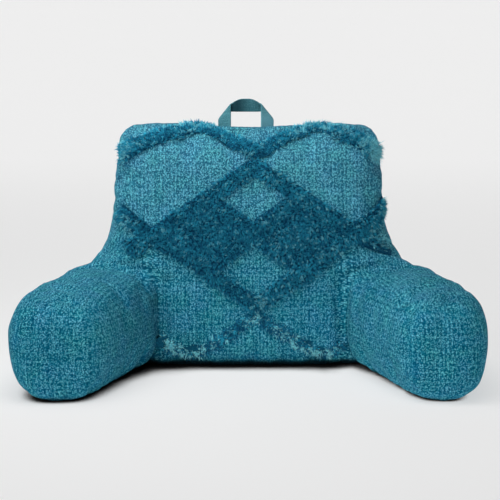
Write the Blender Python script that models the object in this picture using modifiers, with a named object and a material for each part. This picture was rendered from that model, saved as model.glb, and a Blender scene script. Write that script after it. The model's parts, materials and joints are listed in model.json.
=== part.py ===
"""Reading pillow with arms: a filled backrest with two arms, a carry strap, and raised cut-pile bands on the front panel.

Metres, +Z up. The sitter faces -Y, the pillow stands on z = 0, and +X is to the right seen from the front.
The pillow is one sewn and filled form, so it is one solid: a backrest cushion and two arm bolsters, knit together.
The pile bands lie on its front panel as raised strips, as high as the pile stands.
"""

import math

import bmesh
import bpy
import numpy as np
from mathutils import Vector
from mathutils.bvhtree import BVHTree

# ---- driving dimensions ---------------------------------------------------------------------------------------------
CAGE_SWELL = 1.022  # a subdivided ring of RING_POINTS lies this much inside its cage
RING_POINTS = 16
KNIT_VOXEL = 0.0085  # size at which the backrest and arms are knit into one form
BODY_TRIANGLES = 5250
FLOOR_SNAP = 0.0006  # points this near the floor lie on it

BACK_CROWN = 0.012  # how far the front panel swells between its sides
TOP_DIP = 0.0035  # the top edge is drawn down at the middle, where the strap is sewn in
TOP_DIP_REACH = 0.060

# Backrest, a row for each level. lift raises the ends of the level over its middle, so the top edge dips between its corners.
BACK_COLUMNS = ("z", "half_width", "y_front", "y_rear", "square", "lift")
BACK_ROWS = (
    (0.000, 0.220, 0.036, 0.148, 3.2, 0.000),
    (0.009, 0.237, 0.002, 0.168, 3.2, 0.000),
    (0.060, 0.262, -0.012, 0.180, 3.2, 0.000),
    (0.130, 0.276, -0.006, 0.182, 3.2, 0.000),
    (0.175, 0.266, 0.000, 0.180, 3.4, 0.000),
    (0.210, 0.247, 0.006, 0.175, 3.8, 0.001),
    (0.245, 0.232, 0.012, 0.169, 4.4, 0.002),
    (0.290, 0.227, 0.020, 0.162, 5.0, 0.004),
    (0.3515, 0.2265, 0.036, 0.150, 5.4, 0.014),
    (0.379, 0.219, 0.048, 0.136, 5.2, 0.027),
    (0.3895, 0.206, 0.066, 0.118, 4.8, 0.034),
)

# Arm, a row for each cut across it, from the rear to the tip. x is measured from the middle of the pillow.
# tuck is how far the outer side draws in towards the floor.
ARM_COLUMNS = ("y", "x_in", "x_out", "z_low", "z_top", "square_top", "square_base", "tuck")
ARM_ROWS = (
    (0.158, 0.190, 0.270, 0.030, 0.118, 2.6, 2.6, 0.000),
    (0.148, 0.165, 0.304, 0.006, 0.145, 2.6, 2.8, 0.004),
    (0.105, 0.150, 0.330, 0.000, 0.164, 2.9, 3.0, 0.008),
    (0.040, 0.148, 0.347, 0.000, 0.174, 3.1, 3.0, 0.010),
    (-0.030, 0.160, 0.362, 0.000, 0.177, 3.1, 3.0, 0.010),
    (-0.100, 0.186, 0.375, 0.000, 0.177, 3.1, 3.0, 0.010),
    (-0.165, 0.211, 0.382, 0.000, 0.174, 3.1, 3.0, 0.010),
    (-0.218, 0.231, 0.378, 0.000, 0.166, 3.0, 3.2, 0.010),
    (-0.246, 0.250, 0.361, 0.006, 0.148, 2.8, 3.2, 0.008),
    (-0.255, 0.278, 0.334, 0.034, 0.112, 2.6, 2.8, 0.004),
)
# The two arms are stuffed a little unevenly, as sewn ones are.
ARM_SIDE_COLUMNS = ("side", "sign", "shift_root", "shift_tip", "outer_drop")
ARM_SIDES = (
    ("left", -1.0, -0.004, -0.008, 0.003),
    ("right", 1.0, 0.006, 0.006, -0.001),
)

# ---- chart of the front panel: across and level name a point on it, as on the cut cloth ------------------------------
CHART_SIDE = 0.190  # past this, across runs round the panel's side
CHART_TOP = 0.345  # past this, level runs over the top edge
CHART_SIDE_RADIUS = 0.055
CHART_TOP_RADIUS = 0.062
CHART_CORE_Y = 0.092

# ---- cut-pile bands -------------------------------------------------------------------------------------------------
PILE_HEIGHT = 0.009
PILE_SHOULDER = 0.0045  # the pile slumps this much along its edges
BAND_LIFT = 0.0005  # from the front panel to the underside of a band
BAND_CLEAR = 0.00045  # least gap under a band
BAND_GRID = 0.0145
# Bands, a row for each corner, on the chart. round is how much of a band on each side of the corner turns with it.
# The panel was cut and filled by hand, so its left and right differ a little, and the bands vary in width.
BAND_COLUMNS = ("band", "across", "level", "round", "width")
BAND_ROWS = (
    ("roof", -0.200, 0.2015, 0.000, 0.028),
    ("roof", -0.164, 0.225, 0.014, 0.027),
    ("roof", 0.012, 0.344, 0.014, 0.027),
    ("roof", 0.1765, 0.233, 0.014, 0.027),
    ("roof", 0.234, 0.202, 0.000, 0.027),
    ("valley", -0.221, 0.265, 0.000, 0.027),
    ("valley", -0.164, 0.225, 0.010, 0.026),
    ("valley", -0.1034, 0.1896, 0.020, 0.021),
    ("valley", 0.0135, 0.111, 0.012, 0.027),
    ("valley", 0.1055, 0.1755, 0.020, 0.032),
    ("valley", 0.1765, 0.233, 0.010, 0.028),
    ("valley", 0.252, 0.275, 0.000, 0.026),
    ("top", -0.227, 0.366, 0.000, 0.043),
    ("top", -0.158, 0.392, 0.020, 0.027),
    ("top", -0.086, 0.430, 0.024, 0.027),
    ("top", 0.012, 0.3655, 0.018, 0.026),
    ("top", 0.110, 0.429, 0.024, 0.027),
    ("top", 0.180, 0.393, 0.014, 0.028),
    ("top", 0.230, 0.366, 0.000, 0.036),
    ("base", -0.148, 0.050, 0.000, 0.023),
    ("base", -0.097, 0.019, 0.014, 0.023),
    ("base", 0.012, 0.094, 0.010, 0.023),
    ("base", 0.127, 0.020, 0.014, 0.023),
    ("base", 0.158, 0.040, 0.000, 0.023),
)
# Bands that run into each other are one piece.
PIECE_COLUMNS = ("piece", "bands")
PIECES = (
    ("cut_pile_zigzag", ("top",)),
    ("cut_pile_lattice", ("roof", "valley", "base", "diamonds")),
)
LATTICE_LEFT, LATTICE_APEX, LATTICE_RIGHT, LATTICE_FOOT = 1, 2, 3, 3  # corners of the great diamond in roof and valley
FILL_LAP = 0.0165  # the two filled diamonds run into each other by this much
FILL_RAISE = 0.0035  # and sit this much above the middle

# ---- carry strap ----------------------------------------------------------------------------------------------------
STRAP_WIDTH = 0.0245
STRAP_THICK = 0.0024
STRAP_MIDDLE = -0.0045  # across
STRAP_LEG = 0.0385  # middle of each leg from the middle of the strap
STRAP_ARCH = 0.010  # the upper edge of the top run drops this much towards the folds
STRAP_ARCH_REACH = 0.023
STRAP_ROLL = math.radians(25.0)  # the top run's upper edge leans forward
STRAP_SPLAY = math.radians(30.0)  # the legs' outer edges turn back
STRAP_SLUMP = 0.5  # and drop by this share of their width
STRAP_LEVEL = 0.4420  # middle of the top run
STRAP_FOLD_RADIUS = 0.0036
STRAP_Y = 0.0960  # top run; the legs stand two fold radii in front of it
STRAP_STATIONS_COLUMNS = ("zone", "count")
STRAP_STATIONS = (("leg", 3), ("fold", 8), ("run", 3))

TEAL = (0.045, 0.225, 0.31, 1.0)
DEEP_TEAL = (0.008, 0.075, 0.13, 1.0)
STRAP_TEAL = (0.06, 0.24, 0.30, 1.0)


# ---- helpers --------------------------------------------------------------------------------------------------------
def rows_of(columns, rows):
    """Each row as a dict by column name."""
    return [dict(zip(columns, row)) for row in rows]


def clear_scene():
    for o in list(bpy.data.objects):
        bpy.data.objects.remove(o, do_unlink=True)


def collection(name):
    c = bpy.data.collections.new(name)
    bpy.context.scene.collection.children.link(c)
    return c


def cloth_material(name, colour, roughness):
    m = bpy.data.materials.new(name)
    m.use_nodes = True
    p = m.node_tree.nodes["Principled BSDF"]
    p.inputs["Base Color"].default_value = colour
    p.inputs["Roughness"].default_value = roughness
    p.inputs["Metallic"].default_value = 0.0
    m.diffuse_color = colour
    return m


def add_object(name, mesh, group, parent=None, material=None):
    o = bpy.data.objects.new(name, mesh)
    group.objects.link(o)
    if parent is not None:
        o.parent = parent
    if material is not None:
        mesh.materials.clear()
        mesh.materials.append(material)
    return o


def evaluated_mesh(o, name):
    """The object's shape with its modifiers, as a mesh of its own."""
    bpy.context.view_layer.update()
    dg = bpy.context.evaluated_depsgraph_get()
    m = bpy.data.meshes.new_from_object(o.evaluated_get(dg), depsgraph=dg)
    m.name = name
    m.transform(o.matrix_world)
    return m


def superellipse(half_a, half_b, square_top, square_base, count):
    """Points round a rounded rectangle: square 2 is an ellipse, and higher numbers have squarer corners."""
    points = []
    for k in range(count):
        t = 2.0 * math.pi * (k + 0.5) / count
        c, s = math.cos(t), math.sin(t)
        square = square_top if s > 0 else square_base
        points.append(
            (
                math.copysign(abs(c) ** (2.0 / square), c) * half_a * CAGE_SWELL,
                math.copysign(abs(s) ** (2.0 / square), s) * half_b * CAGE_SWELL,
            )
        )
    return points


def ring_cage(name, rings, group):
    """A closed cage through rings of equal counts, with flat ends, subdivided."""
    bm = bmesh.new()
    loops = [[bm.verts.new(p) for p in ring] for ring in rings]
    n = len(loops[0])
    for a, b in zip(loops, loops[1:]):
        for k in range(n):
            bm.faces.new((a[k], a[(k + 1) % n], b[(k + 1) % n], b[k]))
    bm.faces.new(list(reversed(loops[0])))
    bm.faces.new(loops[-1])
    bmesh.ops.recalc_face_normals(bm, faces=bm.faces)
    mesh = bpy.data.meshes.new(name)
    bm.to_mesh(mesh)
    bm.free()
    o = add_object(name, mesh, group)
    o.hide_render = True
    o.display_type = "WIRE"
    sub = o.modifiers.new("round", "SUBSURF")
    sub.levels = sub.render_levels = 3
    return o


# ---- the filled form ------------------------------------------------------------------------------------------------
def backrest_rings():
    rings = []
    for r in rows_of(BACK_COLUMNS, BACK_ROWS):
        mid = 0.5 * (r["y_front"] + r["y_rear"])
        half = 0.5 * (r["y_rear"] - r["y_front"])
        ring = []
        for x, y in superellipse(r["half_width"], half, r["square"], r["square"], RING_POINTS):
            u = x / (r["half_width"] * CAGE_SWELL)
            swell = BACK_CROWN * (1.0 - u * u) if y < 0 else 0.5 * BACK_CROWN * (u * u - 1.0)
            ring.append((x, mid + y - swell, r["z"] + r["lift"] * u * u))
        rings.append(ring)
    return rings


def arm_rings(side):
    rows = rows_of(ARM_COLUMNS, ARM_ROWS)
    y_root, y_tip = rows[0]["y"], rows[-1]["y"]
    rings = []
    for r in rows:
        t = (y_root - r["y"]) / (y_root - y_tip)
        shift = side["shift_root"] * (1.0 - t) + side["shift_tip"] * t
        keep = 1.0 if r["x_in"] < 0.26 else 0.5
        x_in = r["x_in"] + shift * keep
        mid, half = 0.5 * (x_in + r["x_out"]), 0.5 * (r["x_out"] - x_in)
        z_mid, z_half = 0.5 * (r["z_low"] + r["z_top"]), 0.5 * (r["z_top"] - r["z_low"])
        ring = []
        for x, z in superellipse(half, z_half, r["square_top"], r["square_base"], RING_POINTS):
            out, up, down = max(0.0, x / half), max(0.0, z / z_half), max(0.0, -z / z_half)
            x_here = mid + x - r["tuck"] * out * down
            ring.append((side["sign"] * x_here, r["y"], z_mid + z - side["outer_drop"] * out * up))
        rings.append(ring)
    return rings


def smooth_by(bm, strength, rounds):
    """Laplacian smoothing, with a strength for each vertex."""
    bm.verts.ensure_lookup_table()
    n = len(bm.verts)
    co = np.array([v.co for v in bm.verts])
    edges = np.array([[e.verts[0].index, e.verts[1].index] for e in bm.edges])
    degree = np.bincount(edges.ravel(), minlength=n).astype(float)[:, None]
    w = strength(co)[:, None]
    for _ in range(rounds):
        total = np.zeros_like(co)
        for k in range(3):
            total[:, k] = np.bincount(
                edges[:, 0], weights=co[edges[:, 1], k], minlength=n
            ) + np.bincount(edges[:, 1], weights=co[edges[:, 0], k], minlength=n)
        co += w * (total / degree - co)
    for v, c in zip(bm.verts, co):
        v.co = c


def shoulder_strength(co):
    """The cloth runs on smoothly over the shoulders and behind, and stays creased where an arm meets the front panel."""
    x, y, z = np.abs(co[:, 0]), co[:, 1], co[:, 2]
    near_crease = np.exp(-(((x - 0.17) / 0.05) ** 2) - ((np.minimum(y, 0.03) + 0.0) / 0.06) ** 2)
    low = np.clip((0.165 - z) / 0.03, 0.0, 1.0)
    crease = near_crease * low
    return 0.55 * (1.0 - 0.85 * crease)


def fillet_strength(co):
    """Where the backrest's side runs down into the arm, the cloth is stretched into a long hollow curve."""
    x, y, z = np.abs(co[:, 0]), co[:, 1], co[:, 2]
    return (
        0.6
        * np.exp(-(((x - 0.255) / 0.055) ** 2) - ((z - 0.205) / 0.055) ** 2)
        * np.clip((y + 0.10) / 0.08, 0.0, 1.0)
    )


def build_body(group, cutters, parent, material):
    back = ring_cage("cage_backrest", backrest_rings(), cutters)
    arms = [
        ring_cage("cage_arm_" + s["side"], arm_rings(s), cutters)
        for s in rows_of(ARM_SIDE_COLUMNS, ARM_SIDES)
    ]
    joined = add_object("cage_joined", evaluated_mesh(back, "cage_joined"), cutters)
    joined.hide_render = True
    joined.display_type = "WIRE"
    for arm in arms:
        b = joined.modifiers.new("with_" + arm.name, "BOOLEAN")
        b.operation = "UNION"
        b.object = arm
    knit = joined.modifiers.new("knit", "REMESH")
    knit.mode = "VOXEL"
    knit.voxel_size = KNIT_VOXEL
    mesh = evaluated_mesh(joined, "pillow_body")

    bm = bmesh.new()
    bm.from_mesh(mesh)
    smooth_by(bm, shoulder_strength, 14)
    smooth_by(bm, fillet_strength, 40)
    # flat where it rests: the underside is cut level
    floor = min(v.co.z for v in bm.verts) + 0.0045
    bmesh.ops.bisect_plane(
        bm,
        geom=list(bm.verts) + list(bm.edges) + list(bm.faces),
        plane_co=(0, 0, floor),
        plane_no=(0, 0, -1),
        clear_outer=True,
    )
    bmesh.ops.holes_fill(bm, edges=[e for e in bm.edges if e.is_boundary], sides=0)
    bmesh.ops.triangulate(bm, faces=[f for f in bm.faces if len(f.verts) > 4])
    for v in bm.verts:
        v.co.z -= floor
        v.co.z -= TOP_DIP * math.exp(-((v.co.x / TOP_DIP_REACH) ** 2)) * max(0.0, min(1.0, (v.co.z - 0.34) / 0.05))
        if v.co.z < 0.0002:
            v.co.z = 0.0
    bmesh.ops.recalc_face_normals(bm, faces=bm.faces)
    bm.to_mesh(mesh)
    bm.free()

    body = add_object("pillow_body", mesh, group, parent, material)
    thin = body.modifiers.new("coarsen", "DECIMATE")
    thin.ratio = BODY_TRIANGLES / sum(len(p.vertices) - 2 for p in mesh.polygons)
    thin.use_collapse_triangulate = True
    final = evaluated_mesh(body, "pillow_body_form")
    for v in final.vertices:
        if v.co.z < FLOOR_SNAP:
            v.co.z = 0.0
    body.modifiers.clear()
    body.data = final
    final.materials.clear()
    final.materials.append(material)
    final.shade_smooth()
    return body


# ---- cut-pile bands -------------------------------------------------------------------------------------------------
class PanelChart:
    """Finds the point of the filled form under a place on the chart, and the way out from it."""

    def __init__(self, body):
        mesh = body.data
        self.tree = BVHTree.FromPolygons(
            [v.co.copy() for v in mesh.vertices], [tuple(f.vertices) for f in mesh.polygons]
        )

    def out(self, across, level):
        turn = max(0.0, abs(across) - CHART_SIDE) / CHART_SIDE_RADIUS
        rise = max(0.0, level - CHART_TOP) / CHART_TOP_RADIUS
        return Vector(
            (
                math.copysign(math.sin(turn), across) * math.cos(rise),
                -math.cos(turn) * math.cos(rise),
                math.sin(rise),
            )
        )

    def point(self, across, level, height):
        out = self.out(across, level)
        core = Vector(
            (max(-CHART_SIDE, min(CHART_SIDE, across)), CHART_CORE_Y, min(CHART_TOP, level))
        )
        hit, _, _, _ = self.tree.ray_cast(core + out, -out, 1.0)
        return hit + out * height


def corners_of(band):
    return [
        (Vector((r["across"], r["level"])), r["round"], r["width"])
        for r in rows_of(BAND_COLUMNS, BAND_ROWS)
        if r["band"] == band
    ]


def rounded(corners, steps=3):
    """A line of (place, width) through the corners, each turned over its share of the two sides."""
    line = []
    for k, (here, reach, width) in enumerate(corners):
        if not reach:
            line.append((here, width))
            continue
        before = here + (corners[k - 1][0] - here).normalized() * reach
        after = here + (corners[k + 1][0] - here).normalized() * reach
        for j in range(steps + 1):
            t = j / steps
            line.append((before * (1 - t) ** 2 + here * (2 * t * (1 - t)) + after * t**2, width))
    return line


def band_outline(line, inset):
    """The outline of a strip along a line of (place, width), with mitred corners, drawn in by inset on each side."""
    sides = []
    for sign in (1.0, -1.0):
        side = []
        for k, (here, width) in enumerate(line):
            before = (here - line[k - 1][0]).normalized() if k else None
            after = (line[k + 1][0] - here).normalized() if k + 1 < len(line) else None
            one = before or after
            two = after or before
            n1, n2 = Vector((-one.y, one.x)), Vector((-two.y, two.x))
            mitre = (n1 + n2).normalized()
            side.append(here + mitre * (sign * (0.5 * width - inset) / mitre.dot(n1)))
        sides.append(side)
    return sides[0] + list(reversed(sides[1]))


def flat_prism(name, outlines, group):
    """A closed form on the chart's plane through outlines of equal counts, each at a share of the pile's height."""
    bm = bmesh.new()
    loops = [[bm.verts.new((x, y, PILE_HEIGHT * share)) for x, y in outline] for share, outline in outlines]
    n = len(loops[0])
    for low, high in zip(loops, loops[1:]):
        for k in range(n):
            bm.faces.new((low[k], low[(k + 1) % n], high[(k + 1) % n], high[k]))
    bm.faces.new(list(reversed(loops[0])))
    bm.faces.new(loops[-1])
    bmesh.ops.recalc_face_normals(bm, faces=bm.faces)
    mesh = bpy.data.meshes.new(name)
    bm.to_mesh(mesh)
    bm.free()
    o = add_object(name, mesh, group)
    o.hide_render = True
    o.display_type = "WIRE"
    return o


def inset_outline(points, insets):
    """A convex outline whose sides are drawn in, each by its own inset. A side's inset goes with the point it starts at."""
    moved = []
    for k, here in enumerate(points):
        one = (here - points[k - 1]).normalized()
        two = (points[(k + 1) % len(points)] - here).normalized()
        n1, n2 = Vector((-one.y, one.x)), Vector((-two.y, two.x))
        c = n1.dot(n2)
        a, b = insets[k - 1], insets[k]
        moved.append(here + (n1 * (a - c * b) + n2 * (b - c * a)) / (1.0 - c * c))
    return moved


def filled_diamonds():
    """The left and right quarters of the great diamond, which are filled with pile, with the lap of each of their sides."""
    roof, valley = [c[0] for c in corners_of("roof")], [c[0] for c in corners_of("valley")]
    raised = Vector((0.0, FILL_RAISE))
    middle = 0.5 * (roof[LATTICE_LEFT] + roof[LATTICE_RIGHT]) + raised
    quarters = {}
    for name, side in (("diamond_left", LATTICE_LEFT), ("diamond_right", LATTICE_RIGHT)):
        upper = 0.5 * (roof[side] + roof[LATTICE_APEX]) + raised
        lower = 0.5 * (roof[side] + valley[LATTICE_FOOT]) + raised
        if side == LATTICE_LEFT:
            quarters[name] = [(middle, FILL_LAP), (upper, 0.0), (roof[side], 0.0), (lower, FILL_LAP)]
        else:
            quarters[name] = [(middle, FILL_LAP), (lower, 0.0), (roof[side], 0.0), (upper, FILL_LAP)]
    return quarters


def pattern_outlines(bands):
    """Each band and each filled diamond as outlines from its foot to its top, slumped along its edges."""
    steps = ((0.0, 0.0), (1.0 - PILE_SHOULDER / PILE_HEIGHT, 0.0), (1.0, PILE_SHOULDER))
    shapes = {}
    for band in bands:
        if band == "diamonds":
            for name, outline in filled_diamonds().items():
                places, laps = [c for c, _ in outline], [lap for _, lap in outline]
                shapes[name] = [(share, inset_outline(places, [inset - lap for lap in laps])) for share, inset in steps]
        else:
            line = rounded(corners_of(band))
            shapes[band] = [(share, band_outline(line, inset)) for share, inset in steps]
    return shapes


def clear_underside(chart, faces, ways):
    """Raises the underside of the bands where a chord of it would cut into the swell of the filled form."""
    shares = [(i / 6, j / 6) for i in range(7) for j in range(7 - i)]
    for _ in range(4):
        for f in faces:
            a, b, c = f.verts
            out = (ways[a] + ways[b] + ways[c]).normalized()
            worst = BAND_CLEAR
            for i, j in shares:
                p = a.co * i + b.co * j + c.co * (1.0 - i - j)
                hit, _, _, far = chart.tree.ray_cast(p + out * 0.02, -out, 0.06)
                if hit is not None:
                    worst = min(worst, far - 0.02)
            if worst < BAND_CLEAR:
                for v in f.verts:
                    v.co += ways[v] * (BAND_CLEAR - worst)


def build_bands(name, bands, body, group, cutters, parent, material):
    """The bands of one piece, joined flat and then laid on the filled form."""
    prisms = [
        flat_prism("flat_" + shape, outlines, cutters) for shape, outlines in pattern_outlines(bands).items()
    ]
    first = prisms[0]
    for other in prisms[1:]:
        b = first.modifiers.new("with_" + other.name, "BOOLEAN")
        b.operation = "UNION"
        b.object = other
    mesh = evaluated_mesh(first, name)

    bm = bmesh.new()
    bm.from_mesh(mesh)
    bmesh.ops.remove_doubles(bm, verts=bm.verts, dist=0.0002)
    bmesh.ops.dissolve_limit(
        bm, angle_limit=math.radians(1.0), verts=bm.verts, edges=bm.edges, use_dissolve_boundaries=False
    )
    lo = [min(v.co[k] for v in bm.verts) for k in range(2)]
    hi = [max(v.co[k] for v in bm.verts) for k in range(2)]
    for axis in range(2):
        normal = Vector((1.0, 0.0, 0.0)) if axis == 0 else Vector((0.0, 1.0, 0.0))
        count = int(round((hi[axis] - lo[axis]) / BAND_GRID))
        for k in range(1, count):
            bmesh.ops.bisect_plane(
                bm,
                geom=list(bm.verts) + list(bm.edges) + list(bm.faces),
                dist=0.00001,
                plane_co=normal * (lo[axis] + (hi[axis] - lo[axis]) * k / count),
                plane_no=normal,
            )
    bmesh.ops.remove_doubles(bm, verts=bm.verts, dist=0.00002)
    bmesh.ops.triangulate(bm, faces=bm.faces, quad_method="BEAUTY", ngon_method="BEAUTY")
    chart = PanelChart(body)
    under = [f for f in bm.faces if all(v.co.z < 1e-5 for v in f.verts)]
    ways = {v: chart.out(v.co.x, v.co.y) for v in bm.verts}
    for v in bm.verts:
        v.co = chart.point(v.co.x, v.co.y, BAND_LIFT + v.co.z)
    clear_underside(chart, under, ways)
    bmesh.ops.recalc_face_normals(bm, faces=bm.faces)
    bm.to_mesh(mesh)
    bm.free()
    mesh.shade_smooth()
    mesh.set_sharp_from_angle(angle=math.radians(38.0))
    return add_object(name, mesh, group, parent, material)


# ---- carry strap ----------------------------------------------------------------------------------------------------
def folded(along, across):
    """A place on the flat strap, folded: the top run is straight, and at each end it turns down over a slanted fold."""
    r = STRAP_FOLD_RADIUS
    sign = -1.0 if along < 0 else 1.0
    reach = STRAP_LEG - math.pi * r / math.sqrt(2.0)
    # seen from the left fold, with the right one mirrored
    x, z = -abs(along) + reach, across
    axis, out = Vector((1.0, 1.0)) / math.sqrt(2.0), Vector((-1.0, 1.0)) / math.sqrt(2.0)
    p = Vector((x, z))
    d, t = p.dot(out), p.dot(axis)
    if d <= 0.0:
        q, y = p, 0.0
    elif d < math.pi * r:
        q, y = axis * t + out * (r * math.sin(d / r)), -r * (1.0 - math.cos(d / r))
    else:
        q, y = axis * t - out * (d - math.pi * r), -2.0 * r
    return hung(sign * (reach - q.x), y, q.y)


def hung(x, y, z):
    """A place on the folded strap as it stands: the top run arches and leans forward, and the legs splay back."""
    half = 0.5 * STRAP_WIDTH
    up = max(0.0, z + half)
    level = max(0.0, min(1.0, (0.030 - abs(x)) / 0.016))
    roll = STRAP_ROLL * level * level * (3.0 - 2.0 * level)
    drop = STRAP_ARCH * min(1.0, abs(x) / STRAP_ARCH_REACH) ** 3.2 * min(1.0, up / STRAP_WIDTH)
    outer = max(0.0, abs(x) - (STRAP_LEG - half))
    across = math.copysign(abs(x) - outer * (1.0 - math.cos(STRAP_SPLAY)), x)
    y += STRAP_Y - up * math.sin(roll) + outer * math.sin(STRAP_SPLAY)
    return Vector((across, y, STRAP_LEVEL + z - up * (1.0 - math.cos(roll)) - drop - STRAP_SLUMP * outer))


def build_strap(body, group, parent, material):
    chart = PanelChart(body)
    r = STRAP_FOLD_RADIUS
    reach = STRAP_LEG - math.pi * r / math.sqrt(2.0)
    half = 0.5 * STRAP_WIDTH
    counts = {row["zone"]: row["count"] for row in rows_of(STRAP_STATIONS_COLUMNS, STRAP_STATIONS)}
    # half of the strap as stations of (distance along from the middle, slant): a slanted station lies along the fold
    fold_start, fold_end = reach, reach + math.pi * r * math.sqrt(2.0)
    stations = [((k / counts["run"]) * fold_start, k / counts["run"]) for k in range(counts["run"])]
    stations += [
        (fold_start + (fold_end - fold_start) * k / counts["fold"], 1.0) for k in range(counts["fold"] + 1)
    ]
    total = fold_end + half + 0.5 * STRAP_WIDTH
    stations += [
        (fold_end + (total - fold_end) * k / counts["leg"], 1.0 - k / counts["leg"])
        for k in range(1, counts["leg"] + 1)
    ]
    rows = []
    for sign in (-1.0, 1.0):
        side = []
        for along, slant in stations:
            row = []
            for k in range(5):
                across = -half + STRAP_WIDTH * k / 4
                row.append(folded(sign * (along - slant * across if along else 1e-9), across))
            side.append(row)
        rows = [list(x) for x in reversed(side)] if sign < 0 else rows[:-1] + side
    # each leg runs down to just over the top of the filled form
    legs = counts["leg"]
    for leg in (rows[legs::-1], rows[-legs - 1 :]):
        for k in range(5):
            start, end = leg[0][k], leg[-1][k]
            hit, _, _, _ = chart.tree.ray_cast(Vector((end.x + STRAP_MIDDLE, end.y, 0.6)), Vector((0, 0, -1.0)))
            for j, row in enumerate(leg):
                row[k].z = start.z + (hit.z + 0.0008 - start.z) * j / legs
    bm = bmesh.new()
    grid = [[bm.verts.new((p.x + STRAP_MIDDLE, p.y, p.z)) for p in row] for row in rows]
    for a, b in zip(grid, grid[1:]):
        for k in range(4):
            bm.faces.new((a[k], a[k + 1], b[k + 1], b[k]))
    bmesh.ops.recalc_face_normals(bm, faces=bm.faces)
    mesh = bpy.data.meshes.new("carry_strap")
    bm.to_mesh(mesh)
    bm.free()
    strap = add_object("carry_strap", mesh, group, parent, material)
    thick = strap.modifiers.new("cloth", "SOLIDIFY")
    thick.thickness = STRAP_THICK
    thick.offset = 0.0
    thick.use_even_offset = True
    mesh.shade_smooth()
    return strap


def main():
    clear_scene()
    group = collection("reading_pillow")
    cutters = collection("cages")
    root = bpy.data.objects.new("reading_pillow_root", None)
    group.objects.link(root)
    cloth = cloth_material("slub_cloth", TEAL, 0.92)
    pile = cloth_material("cut_pile", DEEP_TEAL, 0.95)
    tape = cloth_material("strap_cloth", STRAP_TEAL, 0.85)
    body = build_body(group, cutters, root, cloth)
    for piece in rows_of(PIECE_COLUMNS, PIECES):
        build_bands(piece["piece"], piece["bands"], body, group, cutters, root, pile)
    build_strap(body, group, root, tape)
    # the origin is under the middle of the whole pillow
    corners = [v.co for v in body.data.vertices]
    for axis in range(2):
        values = [c[axis] for c in corners]
        root.location[axis] = -0.5 * (min(values) + max(values))


main()
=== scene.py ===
"""Looks of the reading pillow with arms: a slubby woven cover filled full, cut-pile bands tufted through its front, and a folded carry strap.

Metres, +Z up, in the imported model's frame: the pillow stands on z = 0 and is seen from -Y.
"""

import json
import math

import bmesh
import bpy
import numpy as np
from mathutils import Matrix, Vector
from mathutils.bvhtree import BVHTree
from mathutils.kdtree import KDTree

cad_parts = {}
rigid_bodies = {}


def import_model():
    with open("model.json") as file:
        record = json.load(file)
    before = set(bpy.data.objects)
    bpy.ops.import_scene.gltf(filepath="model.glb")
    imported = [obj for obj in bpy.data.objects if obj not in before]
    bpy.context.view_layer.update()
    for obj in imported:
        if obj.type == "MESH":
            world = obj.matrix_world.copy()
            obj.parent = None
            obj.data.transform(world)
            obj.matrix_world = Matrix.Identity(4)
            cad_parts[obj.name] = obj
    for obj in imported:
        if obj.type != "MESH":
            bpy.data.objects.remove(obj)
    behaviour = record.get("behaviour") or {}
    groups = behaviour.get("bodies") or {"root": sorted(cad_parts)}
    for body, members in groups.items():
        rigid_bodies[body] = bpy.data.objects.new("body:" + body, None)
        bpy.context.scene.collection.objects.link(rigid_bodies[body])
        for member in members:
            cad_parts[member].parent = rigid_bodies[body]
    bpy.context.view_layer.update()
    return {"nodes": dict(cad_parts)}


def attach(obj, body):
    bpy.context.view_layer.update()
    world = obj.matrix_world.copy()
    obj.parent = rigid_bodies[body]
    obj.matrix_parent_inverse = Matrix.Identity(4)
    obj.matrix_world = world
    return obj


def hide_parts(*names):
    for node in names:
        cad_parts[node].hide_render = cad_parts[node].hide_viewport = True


SEED = 41

# ---- sizes, in metres -----------------------------------------------------------------------------------------------
COVER_VOXEL = 0.0071
SIM_FRAMES = 20
SIM_CAP = 0.012  # the farthest a point may move while the cover is filled
FLOOR = 0.0

MIDDLE_Y = 0.03347  # the pattern, strap and seams were laid out about y = 0 here

# Chart of the front panel: across and level name a point on it, as on the cut cloth
CHART_SIDE = 0.190
CHART_TOP = 0.345
CHART_SIDE_RADIUS = 0.055
CHART_TOP_RADIUS = 0.062
CHART_CORE_Y = 0.092 + MIDDLE_Y

# Cut-pile bands, a row for each corner, on the chart. round is how much of a band on each side of the corner turns with it.
BAND_COLUMNS = ("band", "across", "level", "round", "width")
BAND_ROWS = (
    ("roof", -0.200, 0.2015, 0.000, 0.028),
    ("roof", -0.164, 0.225, 0.014, 0.027),
    ("roof", 0.012, 0.344, 0.014, 0.027),
    ("roof", 0.1765, 0.233, 0.014, 0.027),
    ("roof", 0.234, 0.202, 0.000, 0.027),
    ("valley", -0.221, 0.265, 0.000, 0.027),
    ("valley", -0.164, 0.225, 0.010, 0.026),
    ("valley", -0.1034, 0.1896, 0.020, 0.021),
    ("valley", 0.0135, 0.111, 0.012, 0.027),
    ("valley", 0.1055, 0.1755, 0.020, 0.032),
    ("valley", 0.1765, 0.233, 0.010, 0.028),
    ("valley", 0.252, 0.275, 0.000, 0.026),
    ("top", -0.227, 0.366, 0.000, 0.043),
    ("top", -0.158, 0.392, 0.020, 0.027),
    ("top", -0.086, 0.430, 0.024, 0.027),
    ("top", 0.012, 0.3655, 0.018, 0.026),
    ("top", 0.110, 0.429, 0.024, 0.027),
    ("top", 0.180, 0.393, 0.014, 0.028),
    ("top", 0.230, 0.366, 0.000, 0.036),
    ("base", -0.148, 0.050, 0.000, 0.023),
    ("base", -0.097, 0.019, 0.014, 0.023),
    ("base", 0.012, 0.094, 0.010, 0.023),
    ("base", 0.127, 0.020, 0.014, 0.023),
    ("base", 0.158, 0.040, 0.000, 0.023),
)
LATTICE_LEFT, LATTICE_APEX, LATTICE_RIGHT, LATTICE_FOOT = 1, 2, 3, 3  # corners of the great diamond in roof and valley
FILL_LAP = 0.0165  # the two filled diamonds run into each other by this much
FILL_RAISE = 0.0035  # and sit this much above the middle
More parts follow.
